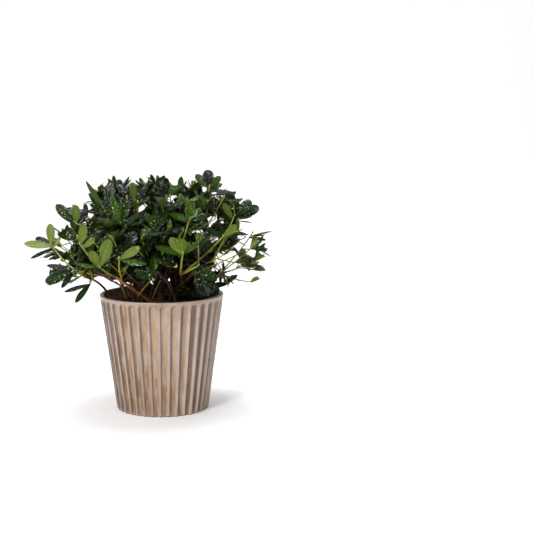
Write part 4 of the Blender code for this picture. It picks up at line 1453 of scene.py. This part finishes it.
def glaze_plain(name, colour, second, roughness):
    """A thin even glaze, as on the pot's lip and inside, clouded between two colours, and darker where the
    wall mark lies, as painted shade in the lip's hollow.
    """
    skin = Skin(name, {"Coat Weight": 0.4, "Coat Roughness": 0.15})
    grit = skin.mottle(700.0, 2.0)
    ground = skin.mixed(skin.mottle(90.0, 3.2, 5.0), colour, second)
    # Painted shade: darker along the wall mark, as in the middle of the lip's hollow
    ground = skin.mixed(skin.mark("wall"), ground, scaled(colour, 0.2))
    return skin.dressed(ground, skin.plus(skin.times(grit, 0.2), roughness), grit, 0.00012)


def twig_material(colours):
    """A young twig's skin: reddish where it leaves the stem, turning green towards its tip."""
    skin = Skin("twig_skin", {"Specular IOR Level": 0.12})
    along = skin.add("ShaderNodeSeparateXYZ", {0: skin.uv})[1]
    cloud = skin.times(skin.mottle(90.0, 3.0), 0.4)
    green = skin.plus(skin.remapped(along, 0.2, 2.6), cloud, clamp=True)
    ground = skin.mixed(green, scaled(colours.stem_colour, 0.35), colours.twig_colour)
    grain = skin.mottle(800.0, 2.0)
    return skin.dressed(ground, skin.plus(skin.times(grain, 0.2), 0.45), grain, 0.00015)


def leaf_skins(kind, looks):
    """The materials of one kind of leaf: its upper side and its underside."""
    upper = getattr(looks, kind + "_colour")
    under = getattr(looks, kind + "_under_colour")
    vein = tuple(0.5 * high + 0.5 * low for high, low in zip(upper, under))
    return (leaf_material("leaf_" + kind, upper, vein, looks.gloss, looks.shine, looks.relief),
            leaf_material("leaf_" + kind + "_under", under, scaled(under, 1.2), UNDER_GLOSS, UNDER_SHINE,
                          looks.relief * UNDER_RELIEF))


def floor_material(colour, glow):
    """Matt seamless paper with a very faint mottle, glowing a little by itself, a painted light that keeps
    shadows pale.
    """
    skin = Skin("paper", {"Roughness": 0.85, "Specular IOR Level": 0.2, "Emission Color": colour,
                          "Emission Strength": glow})
    ground = skin.mixed(skin.mottle(3.0, 1.5), scaled(colour, 0.985), colour)
    skin.feed(skin.shader["Base Color"], ground)
    return skin.material


def waves(points, seed, terms, finest, coarsest):
    """A bumpy height for each point, about -1 to 1: sines along random directions, the finer the lower."""
    rng = np.random.default_rng(seed)
    total = np.zeros(len(points))
    for lengths in np.geomspace(coarsest, finest, terms):
        way = rng.normal(size=points.shape[1])
        way /= np.linalg.norm(way)
        total += np.sin(points @ way * 2 * math.pi / lengths + rng.uniform(0, 2 * math.pi)) * lengths**0.6
    return total / np.abs(total).max()


def pot_grid(lip_dip):
    """(points, flute, wall, material row) of the pot from the middle of its underside, up its outside,
    over its lip and down inside to the middle of its floor.

    Each column keeps its place in its flute or ridge. Across, a flute is a bowl with steep sides, a power of
    one less a power of the way from its middle. Its top is a dome: above the dome's start its width and
    depth shrink as the root of one less the square of the way up. flute runs from 0 on a ridge to 1 in the
    middle of a flute. wall rises from there to 1 at the flute's left edge, and to less at its right one."""
    across = np.sin(np.linspace(-math.pi / 2, math.pi / 2, 11))
    between = np.linspace(0.0, 1.0, 5)[1:-1]
    inner_rim = RIM_RADIUS - POT_WALL
    half_turn = math.pi * FLUTE_SHARE / FLUTES
    dome = half_turn * wall_radius(POT_HEIGHT - RIM_BAND)
    dome_start = POT_HEIGHT - RIM_BAND - dome
    up = np.concatenate(((0.0, FOOT_CHAMFER), np.linspace(0.004, dome_start, 16),
                         dome_start + dome * np.sin(np.linspace(0.0, math.pi / 2, 11)[1:]),
                         np.linspace(POT_HEIGHT - 0.75 * RIM_BAND, POT_HEIGHT - LIP_ROUND, 3)))
    outer = wall_radius(up)
    outer[0] -= FOOT_CHAMFER
    bend_up = np.linspace(0.0, math.pi / 2, 5)[1:]
    bend_down = np.linspace(math.pi / 2, math.pi, 5)
    flat = np.linspace(0.0, 1.0, 6)[1:-1]
    down = np.linspace(POT_HEIGHT - LIP_ROUND, POT_FLOOR + 3 * LIP_ROUND, 12)[1:]
    lip_in = RIM_RADIUS - LIP_ROUND
    lip_low = POT_HEIGHT - LIP_ROUND * (1 - np.sin(bend_down))
    floor = wall_radius(POT_FLOOR) - POT_WALL - 3 * LIP_ROUND
    rows = [
        (np.array((0.0, 0.02, 0.04)), np.zeros(3), 3),
        (outer, up, 0),
        (lip_in + LIP_ROUND * np.cos(bend_up), POT_HEIGHT - LIP_ROUND * (1 - np.sin(bend_up)), 1),
        (lip_in - (POT_WALL - 2 * LIP_ROUND) * flat, POT_HEIGHT - lip_dip * np.sin(math.pi * flat), 1),
        (inner_rim + LIP_ROUND * (1 + np.cos(bend_down)), lip_low, 1),
        (wall_radius(down) - POT_WALL, down, 2),
        (np.array((floor, 0.0)), np.full(2, POT_FLOOR), 2),
    ]
    radius = np.concatenate([row[0] for row in rows])
    height = np.concatenate([row[1] for row in rows])
    kind = np.repeat([row[2] for row in rows], [len(row[0]) for row in rows])
    way_up = np.clip((height - dome_start) / dome, 0.0, 1.0)
    outside = kind == 0
    shrink = np.where(outside, np.sqrt(1.0 - way_up**2), 0.0)
    width = np.clip(np.where(kind == 3, 1.0, shrink), DOME_TIP, 1.0) * half_turn
    shrink = shrink * (1.0 - 0.5 * np.exp(-height / FLUTE_RUNOUT))
    period = 2 * math.pi / FLUTES
    in_flute = width[:, None] * across
    on_ridge = width[:, None] + (period - 2 * width[:, None]) * between
    one = np.concatenate((in_flute, on_ridge), axis=1)
    centres = -math.pi / 2 + FLUTE_TURN + (np.arange(FLUTES) + 0.5) * period
    turn = (centres[None, :, None] + one[:, None, :]).reshape(len(height), -1)
    bowl = np.clip(1.0 - np.abs(across) ** BOWL_POWERS[0], 0.0, 1.0) ** BOWL_POWERS[1]
    hollow = np.concatenate((bowl, np.zeros(len(between))))
    # The wall mark: patina and painted shade along the walls, weaker on each flute's right wall, which the
    # light falls on
    steep = np.abs(across)**WALL_POWER * np.where(across < 0, 1.0, RIGHT_WALL)
    steep = np.concatenate((steep, RIDGE_MARKS))
    flat_top = 1.0 - np.concatenate((np.zeros(len(across)), np.sin(math.pi * between)))
    across_pot = (hollow, steep, flat_top)
    hollow, steep, flat_top = (np.tile(part, FLUTES)[None] * shrink[:, None] for part in across_pot)
    # The middle of the lip's hollow takes the wall mark as well, for a line of painted shade
    off_middle = (radius - inner_rim - POT_WALL / 2) / (POT_WALL / 3)
    lip_hollow_shade = (kind == 1) * np.clip(1.0 - off_middle**2, 0.0, 1.0)
    steep = steep + lip_hollow_shade[:, None]
    reach = radius[:, None] - FLUTE_DEPTH * hollow - RIDGE_CROWN * flat_top
    level = np.broadcast_to(height[:, None], turn.shape)
    points = np.stack((reach * np.cos(turn), reach * np.sin(turn), level), axis=-1)
    kinds = np.where((kind[:-1] != 2) & (height[1:] <= FOOT_CHAMFER), 3, kind[:-1])
    return points, hollow, steep, kinds


def wall_radius(height):
    """The pot's outside between its foot and its rim."""
    return FOOT_RADIUS + (RIM_RADIUS - FOOT_RADIUS) * height / POT_HEIGHT


def soil_height(places, lumps):
    """The soil's surface over places in the plane: lumps, and a slight rise to the middle."""
    out = np.linalg.norm(places, axis=1) / SOIL_RADIUS
    return SOIL_TOP + lumps * waves(places, **SOIL_WAVES) + SOIL_RISE * (1.0 - out**2)


def soil_grid(lumps):
    """Points of the soil: rings from the middle of its top out to the wall, then down and back in below.

    The top's height is waves over the plane, and its edge follows the pot's taper down to the pot's floor."""
    turn, ring = circle(160)
    out = np.linspace(0.0, 1.0, 44) ** 0.85 * SOIL_RADIUS
    places = (out[:, None, None] * ring).reshape(-1, 2)
    heights = soil_height(places, lumps).reshape(len(out), -1)
    top = np.concatenate((places.reshape(len(out), -1, 2), heights[..., None]), axis=2)
    deep = np.array((SOIL_TOP - 0.008, SOIL_TOP - 0.05, 0.012, POT_FLOOR + CLEARANCE, POT_FLOOR + CLEARANCE))
    edge = wall_radius(deep) - POT_WALL - CLEARANCE
    edge[-2:] = (edge[-2] - 0.004, 0.0)
    level = np.broadcast_to(deep[:, None, None], (len(deep), len(turn), 1))
    return np.concatenate((top, np.concatenate((edge[:, None, None] * ring, level), axis=2)))


def chips(count, lumps):
    """(points, faces) of flat crumbs of bark strewn on the soil: small ellipsoids, dented and turned."""
    rng = np.random.default_rng(CRUMB_SEED)
    turn, _ = circle(7)
    rise = np.linspace(-math.pi / 2, math.pi / 2, 5)
    flat = polar(np.cos(rise)[:, None], turn)
    ball = np.concatenate((flat, np.broadcast_to(np.sin(rise)[:, None, None], (*flat.shape[:2], 1))), axis=2)
    size = rng.uniform(*CRUMB_SIZE, (count, 1, 1, 1)) * rng.uniform(*CRUMB_SHAPE, (count, 1, 1, 3))
    dented = ball[None] * size * rng.uniform(*CRUMB_DENTS, (count, *ball.shape[:2], 1))
    spin = rng.uniform(0.0, 2 * math.pi, count)
    pitch = rng.normal(0.0, CRUMB_PITCH, count)
    zero, one = np.zeros(count), np.ones(count)
    cos, sin = np.cos(spin), np.sin(spin)
    about_z = np.array(((cos, -sin, zero), (sin, cos, zero), (zero, zero, one)))
    cos, sin = np.cos(pitch), np.sin(pitch)
    about_x = np.array(((one, zero, zero), (zero, cos, -sin), (zero, sin, cos)))
    turned = np.einsum("ijn,jkn,nabk->nabi", about_z, about_x, dented)
    out = np.sqrt(rng.uniform(0.02, 1.0, count)) * (SOIL_RADIUS - 0.004)
    places = polar(out, rng.uniform(0.0, 2 * math.pi, count))
    centres = np.column_stack((places, soil_height(places, lumps) + CRUMB_LIFT))
    faces = repeated(quads(len(rise), len(turn), wrapped=True), count, len(rise) * len(turn))
    return turned + centres[:, None, None], faces


def buds(store_buds):
    """(points, faces) of pointed buds: circles whose radius is a sine of the way up, drawn in at the top."""
    tips = np.array([bud[0] for bud in store_buds])[:, None, None]
    ways = np.array([bud[1] for bud in store_buds])
    length = np.array([bud[2] for bud in store_buds])[:, None, None]
    side = np.cross(ways, (0.3, 0.9, 0.1))
    side /= np.linalg.norm(side, axis=1, keepdims=True)
    over = np.cross(ways, side)
    up = np.linspace(0.0, 1.0, 6)[None, :, None]
    turn = circle(6)[0][None, None]
    radius = length * BUD_WIDTH * np.sin(math.pi * up**0.75)
    ring = np.cos(turn)[..., None] * side[:, None, None] + np.sin(turn)[..., None] * over[:, None, None]
    points = tips + ways[:, None, None] * (length * (up - BUD_SINK))[..., None] + ring * radius[..., None]
    return points, repeated(quads(6, 6, wrapped=True), len(store_buds), 36)


def tufts(lumps):
    """(points, faces) of moss: low domes pressed together by the rim on the left.

    Each dome is a half sine of the way in from its edge, dented by chance."""
    rng = np.random.default_rng(MOSS_SEED)
    _, ring = circle(TUFT_SIDES)
    out = np.linspace(1.0, 0.0, TUFT_RINGS)
    where = np.radians(rng.normal(*TUFT_TURN, TUFTS))
    centres = polar(SOIL_RADIUS - rng.uniform(*TUFT_INSET, TUFTS), where)
    size = rng.uniform(*TUFT_SIZE, (TUFTS, 1, 1))
    flat = centres[:, None, None] + (size * out[None, :, None])[..., None] * ring
    reach = np.linalg.norm(flat, axis=3, keepdims=True)
    flat = flat * np.minimum(1.0, (SOIL_RADIUS - TUFT_EDGE) / reach)
    dome = np.sin(math.pi / 2 * (1.0 - out))[None, :, None]
    rise = size * 0.8 * dome * rng.uniform(0.8, 1.2, (TUFTS, TUFT_RINGS, TUFT_SIDES))
    level = soil_height(flat.reshape(-1, 2), lumps).reshape(flat.shape[:3]) + rise - 0.0003
    faces = repeated(quads(TUFT_RINGS, TUFT_SIDES, wrapped=True), TUFTS, TUFT_RINGS * TUFT_SIDES)
    return np.concatenate((flat, level[..., None]), axis=3), faces


def sweep_floor():
    """A floor that turns up into a backdrop: a straight line, a quarter circle and a straight line, carried
    along X."""
    turn = np.linspace(0.0, math.pi / 2, 25)
    back = SWEEP_FOOT + SWEEP_RADIUS
    depth = np.concatenate(([SWEEP_FRONT], SWEEP_FOOT + SWEEP_RADIUS * np.sin(turn), [back]))
    height = np.concatenate(([0.0], SWEEP_RADIUS * (1.0 - np.cos(turn)), [SWEEP_TOP]))
    across = np.array((-SWEEP_HALF_WIDTH, SWEEP_HALF_WIDTH))
    points = np.stack(np.broadcast_arrays(across[None], depth[:, None], height[:, None]), axis=-1)
    mesh = bpy.data.meshes.new("floor")
    mesh.from_pydata(points.reshape(-1, 3).tolist(), [], quads(*points.shape[:2]).tolist())
    mesh.shade_smooth()
    floor = bpy.data.objects.new("floor", mesh)
    bpy.context.scene.collection.objects.link(floor)
    return floor


def soft_light(name, power, size, place, target):
    """A square area light that faces a point."""
    light = bpy.data.lights.new(name, "AREA")
    light.energy = power
    light.size = size
    lamp = bpy.data.objects.new(name, light)
    lamp.location = place
    way = Vector(target) - Vector(place)
    lamp.rotation_euler = way.to_track_quat("-Z", "Y").to_euler()
    bpy.context.scene.collection.objects.link(lamp)
    return lamp


def colour_setting(name, description, *screen):
    """A colour a user may change. Its default is given as a screen colour."""
    return bpy.props.FloatVectorProperty(name=name, description=description, subtype="COLOR", size=3,
                                         min=0.0, max=1.0, default=srgb(*screen))


def length_setting(name, description, default):
    return bpy.props.FloatProperty(name=name, description=description, subtype="DISTANCE", unit="LENGTH",
                                   min=0.0, precision=5, default=default)


def share_setting(name, description, default):
    return bpy.props.FloatProperty(name=name, description=description, subtype="FACTOR",
                                   min=0.0, max=1.0, default=default)


def count_setting(name, description, least, most, default):
    return bpy.props.IntProperty(name=name, description=description, min=least, max=most, default=default)


def power_setting(name, description, default):
    """A light's power in watts."""
    return bpy.props.FloatProperty(name=name, description=description, subtype="POWER", unit="POWER",
                                   min=0.0, default=default)


class PotSettings(bpy.types.PropertyGroup):
    lip_dip: length_setting("Lip hollow", "How deep the lip is hollowed between its two edges", 0.0004)
    ridge_colour: colour_setting("Ridges", "Glaze that broke thin over the ridges", 148, 129, 120)
    ridge_pale_colour: colour_setting("Pale glaze", "Cloudy pale patches of the glaze", 190, 168, 150)
    flute_colour: colour_setting("Flutes", "Glaze that pooled in the flutes", 182, 156, 128)
    # The golden glaze, also laid deeper on the left as painted shade
    gold_colour: colour_setting("Golden glaze", "Glaze low down and on the left", 130, 92, 48)
    # The dark colour of the patina and painted shade along the flutes' walls, also the bare clay's second
    # colour
    patina_colour: colour_setting("Patina", "Dark lines along the flutes' walls", 56, 38, 20)
    stain_colour: colour_setting("Blotches", "Brown blotches near the rim", 120, 84, 58)
    lip_colour: colour_setting("Lip", "The lip's upper face", 174, 156, 144)
    # Near black: the inside glaze with the shade under the foliage painted in
    inside_colour: colour_setting("Inside", "The glaze inside", 17, 18, 13)
    foot_colour: colour_setting("Bare clay", "The unglazed foot", 120, 70, 48)


class SoilSettings(bpy.types.PropertyGroup):
    lumps: length_setting("Lumps", "Height of the lumps in the soil", 0.0022)
    crumbs: count_setting("Crumbs", "Bits of bark strewn on the soil", 1, 2000, 420)
    soil_colour: colour_setting("Soil", "Damp peat", 30, 22, 18)
    crumb_colour: colour_setting("Crumbs of bark", "Bits of bark on the soil", 60, 42, 32)
    moss_colour: colour_setting("Moss", "Moss by the rim", 74, 92, 40)


class LimbSettings(bpy.types.PropertyGroup):
    relief: share_setting("Bark relief", "How much a limb's radius swells and shrinks", 0.09)
    bark_colour: colour_setting("Bark", "Old bark of the trunk", 50, 33, 24)
    bark_pale_colour: colour_setting("Bark flakes", "Paler flakes of the bark", 118, 78, 52)
    limb_colour: colour_setting("Boughs", "Bark of the boughs", 78, 48, 32)
    # Reddish bark made brighter as painted light for the stem that shows; also the base of the twigs' colour
    stem_colour: colour_setting("Stems", "Reddish bark of the stems that show", 215, 130, 72)
    twig_colour: colour_setting("Twigs", "Green bark of young twigs", 136, 146, 52)
    bud_colour: colour_setting("Buds", "Buds at the shoots' tips", 150, 160, 70)


class LeafSettings(bpy.types.PropertyGroup):
    side_shoots: count_setting("Side shoots", "Side shoots grown on each shoot", 0, 9, 6)
    width_share: share_setting("Leaf width", "A leaf's width as a share of its length", 0.335)
    fold: share_setting("Fold", "How far a blade's halves rise from its midrib", 0.54)
    arch: share_setting("Arch", "How far a blade's edges curl down", 0.66)
    gloss: share_setting("Roughness", "Roughness of a leaf's upper side", 0.08)
    shine: share_setting("Shine", "Strength of the reflections on the upper side", 0.13)
    relief: length_setting("Pucker", "Height of the skin between a leaf's veins", 0.00062)
    new_colour: colour_setting("New leaves", "The small leaves in a whorl's heart", 112, 146, 32)
    young_colour: colour_setting("Young leaves", "Leaves of the year", 58, 93, 9)
    grown_colour: colour_setting("Grown leaves", "Full-grown leaves", 27, 52, 3)
    old_colour: colour_setting("Old leaves", "The lowest leaves of a whorl", 11, 24, 3)
    new_under_colour: colour_setting("New undersides", "Undersides of new leaves", 150, 168, 84)
    young_under_colour: colour_setting("Young undersides", "Undersides of young leaves", 110, 131, 54)
    grown_under_colour: colour_setting("Grown undersides", "Undersides of grown leaves", 80, 104, 40)
    old_under_colour: colour_setting("Old undersides", "Undersides of old leaves", 54, 76, 28)


class StageSettings(bpy.types.PropertyGroup):
    floor_colour: colour_setting("Floor", "The pale floor and the sweep behind", 238, 237, 238)
    floor_glow: share_setting("Floor glow", "How much light the floor gives off by itself", 0.26)
    key_power: power_setting("Main light", "Power of the main light in watts", 27.0)
    top_power: power_setting("Top light", "Power of the light overhead in watts", 18.0)
    fill_power: power_setting("Side light", "Power of the light on the left in watts", 1.4)
    glint_power: power_setting("Glints", "Watts of the light that only shows as reflections", 115.0)
    back_power: power_setting("Back light", "Power of the light on the backdrop", 19.0)
    world_strength: share_setting("Sky", "Strength of the even light from all round", 0.05)


class AZALEA_OT_pot(bpy.types.Operator):
    """Build the fluted pot, glazed outside and in, with a bare clay foot"""
    bl_idname = "azalea.pot"
    bl_label = "Pot"

    def execute(self, context):
        settings = context.scene.azalea_pot
        points, hollow, steep, kinds = pot_grid(settings.lip_dip)
        glazes = (glaze_outside(settings),
                  glaze_plain("glaze_lip", settings.lip_colour, settings.ridge_pale_colour, roughness=0.34),
                  # The inside glaze is painted near black for the shade in the pot
                  glaze_plain("glaze_inside", settings.inside_colour, settings.lip_colour, roughness=0.30),
                  glaze_plain("bare_clay", settings.foot_colour, settings.patina_colour, roughness=0.65))
        rows, columns = hollow.shape
        piece = new_piece("pot_body", points, quads(rows, columns, wrapped=True), glazes, "pot_glaze",
                          marks={"flute": hollow, "wall": steep}, indices=np.repeat(kinds, columns))
        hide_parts("pot")
        return {"FINISHED"}


class AZALEA_OT_soil(bpy.types.Operator):
    """Build the soil in the pot, with crumbs of bark and moss on it"""
    bl_idname = "azalea.soil"
    bl_label = "Soil"

    def execute(self, context):
        settings = context.scene.azalea_soil
        points = soil_grid(settings.lumps)
        faces = quads(*points.shape[:2], wrapped=True)
        earth = soil_material("damp_soil", settings.soil_colour, relief=0.0012)
        bed = new_piece("soil_bed", points, faces, [earth], "soil")
        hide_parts("soil")
        bark = soil_material("bark_crumbs", settings.crumb_colour, relief=0.0004)
        new_piece("soil_crumbs", *chips(settings.crumbs, settings.lumps), [bark], "soil")
        moss = soil_material("moss", settings.moss_colour, relief=0.0006)
        new_piece("moss", *tufts(settings.lumps), [moss], "soil")
        return {"FINISHED"}


class AZALEA_OT_limbs(bpy.types.Operator):
    """Build the trunk, its boughs and the side stems, with the relief of their bark"""
    bl_idname = "azalea.limbs"
    bl_label = "Trunk and Boughs"

    def execute(self, context):
        settings = context.scene.azalea_limbs
        heights = np.linspace(SOIL_TOP + CLEARANCE, TRUNK_TOP, 40)
        trunk = np.array([trunk_axis(height) for height in heights])[None]
        girth = np.array([trunk_radius(height) for height in heights])[None]
        pale = settings.bark_pale_colour
        old_bark = bark_material("old_bark", settings.bark_colour, pale, relief=0.0010, cracks=0.75)
        bark = tube_piece("trunk_bark", trunk, girth, old_bark, "bark", 36, settings.relief, seed=11)
        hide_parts("trunk")
        paths = np.array([limb_of(name, LIMB_RINGS)[0] for name in MASSES])
        radii = np.tile(np.linspace(BOUGH_RADIUS, BOUGH_TIP_RADIUS, LIMB_RINGS), (len(MASSES), 1))
        along = np.linspace(0.0, 1.0, LIMB_RINGS)
        own_stems = [name in SIDE_STEMS for name in MASSES]
        radii[own_stems] *= 1.0 + (STEM_FLARE - 1.0) * np.exp(-STEM_FLARE_FALL * along)
        thin = basal_stems()
        paths = np.concatenate((paths, thin))
        slim = np.broadcast_to(np.linspace(*BASAL_RADIUS, LIMB_RINGS), (len(thin), LIMB_RINGS))
        radii = np.concatenate((radii * LIMB_SLIMNESS, slim))
        limb_bark = bark_material("limb_bark", settings.limb_colour, pale, relief=0.0006, cracks=0.5)
        bark = tube_piece("limb_bark", paths, radii, limb_bark, "bark", 14, settings.relief, seed=12)
        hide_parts(*LIMB_NODES)
        return {"FINISHED"}


class AZALEA_OT_foliage(bpy.types.Operator):
    """Grow the stems, twigs, buds and leaves of every mass of foliage"""
    bl_idname = "azalea.foliage"
    bl_label = "Foliage"

    def execute(self, context):
        limbs = [limb_of(name) for name in MASSES]
        store = {key: [] for key in ("bright_stem", "stems", "twigs", "buds", *LEAF_KINDS)}
        masses = {name: grown(name, limbs) for name in MASSES}
        view = View(masses)
        for name in MASSES:
            carried_on(name, masses[name], limbs, store, view)
        for number, (*places, foot, end) in enumerate(SHOWN_STEMS):
            # The first shown stem gets a lit copy of the stems' bark, brightened with painted light
            key = "stems" if number else "bright_stem"
            store[key].append((bend(*in_metres(places), TWIG_POINTS), MILLIMETRE * foot, MILLIMETRE * end))
        for places in GREEN_TWIGS:
            store["twigs"].append((bend(*in_metres(places), TWIG_POINTS), *GREEN_TWIG_RADIUS))
        colours = context.scene.azalea_limbs
        pale = colours.bark_pale_colour
        stem_bark = bark_material("stems_bark", colours.limb_colour, pale, relief=0.0003, cracks=0.3)
        # A lit copy of the stem bark: brighter colour as painted light
        lit_bark = bark_material("bright_stem_bark", colours.stem_colour, pale, relief=0.0003, cracks=0.3)
        stem_relief = 0.5 * colours.relief
        pieces = []
        for key, skin, slot, sides, relief in (
            ("stems", stem_bark, "bark", 10, stem_relief),
            ("bright_stem", lit_bark, "bark", 10, stem_relief),
            ("twigs", twig_material(colours), "leaves", 6, 0.0),
        ):
            paths = [path for path, _, _ in store[key]]
            radii = [np.linspace(first, last, TWIG_POINTS) for _, first, last in store[key]]
            pieces.append(tube_piece(key, paths, radii, skin, slot, sides, relief, seed=13))
        green = colours.twig_colour
        bud_skin = bark_material("bud_skin", colours.bud_colour, green, relief=0.0001, cracks=0.1)
        pieces.append(new_piece("buds", *buds(store["buds"]), [bud_skin], "leaves"))
        looks = context.scene.azalea_leaves
        for kind in LEAF_KINDS:
            skins = leaf_skins(kind, looks)
            for first in range(0, len(store[kind]), MOST_LEAVES):
                leaves = store[kind][first:first + MOST_LEAVES]
                points, faces, uv, sides = leaf_blades(leaves, looks.width_share, looks.fold, looks.arch)
                name = f"leaves_{kind}_{first // MOST_LEAVES + 1}"
                piece = new_piece(name, points, faces, skins, "leaves", uv=uv, indices=sides, crisp=True)
                pieces.append(piece)
        for piece in pieces:
            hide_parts(*FOLIAGE_NODES)
        return {"FINISHED"}


class AZALEA_OT_stage(bpy.types.Operator):
    """Set the pale floor, the soft lights and the camera"""
    bl_idname = "azalea.stage"
    bl_label = "Floor, Lights and Camera"

    def execute(self, context):
        settings = context.scene.azalea_stage
        scene = context.scene
        floor = sweep_floor()
        floor.data.materials.append(floor_material(settings.floor_colour, settings.floor_glow))
        lamps = {name: soft_light(name, getattr(settings, power), size, place, target)
                 for name, power, size, place, target in LIGHTS}
        lamps["main_light"].visible_glossy = False
        lamps["glint_light"].visible_diffuse = False
        world = bpy.data.worlds.new("studio")
        world.use_nodes = True
        sky = world.node_tree.nodes["Background"]
        sky.inputs["Color"].default_value = (1.0, 1.0, 1.0, 1.0)
        sky.inputs["Strength"].default_value = settings.world_strength
        scene.world = world
        view = bpy.data.cameras.new("camera")
        view.sensor_width = CAMERA_SENSOR
        view.lens = CAMERA_LENS
        camera = bpy.data.objects.new("camera", view)
        camera.location = CAMERA_PLACE
        camera.rotation_euler = CAMERA_TURN
        scene.collection.objects.link(camera)
        scene.camera = camera
        scene.view_settings.view_transform = "Standard"
        return {"FINISHED"}


class AZALEA_PT_panel(bpy.types.Panel):
    """The azalea's settings and the buttons that build its pieces"""
    bl_label = "Potted Azalea"
    bl_idname = "AZALEA_PT_panel"
    bl_space_type = "VIEW_3D"
    bl_region_type = "UI"
    bl_category = "Azalea"

    def draw(self, context):
        for operator, group in PIECES:
            box = self.layout.box()
            box.operator(operator)
            settings = getattr(context.scene, group)
            for label in settings.__annotations__:
                box.prop(settings, label)


PIECES = (
    ("azalea.pot", "azalea_pot"),
    ("azalea.soil", "azalea_soil"),
    ("azalea.limbs", "azalea_limbs"),
    ("azalea.foliage", "azalea_leaves"),
    ("azalea.stage", "azalea_stage"),
)
GROUPS = {
    "azalea_pot": PotSettings,
    "azalea_soil": SoilSettings,
    "azalea_limbs": LimbSettings,
    "azalea_leaves": LeafSettings,
    "azalea_stage": StageSettings,
}
CLASSES = (*GROUPS.values(), AZALEA_OT_pot, AZALEA_OT_soil, AZALEA_OT_limbs, AZALEA_OT_foliage,
           AZALEA_OT_stage, AZALEA_PT_panel)


def register():
    for part in CLASSES:
        bpy.utils.register_class(part)
    for label, group in GROUPS.items():
        setattr(bpy.types.Scene, label, bpy.props.PointerProperty(type=group))


def unregister():
    for label in GROUPS:
        delattr(bpy.types.Scene, label)
    for part in reversed(CLASSES):
        bpy.utils.unregister_class(part)


def main():
    register()
    bpy.ops.azalea.pot()
    bpy.ops.azalea.soil()
    bpy.ops.azalea.limbs()
    bpy.ops.azalea.foliage()
    bpy.ops.azalea.stage()


if __name__ == "__main__":
    main()
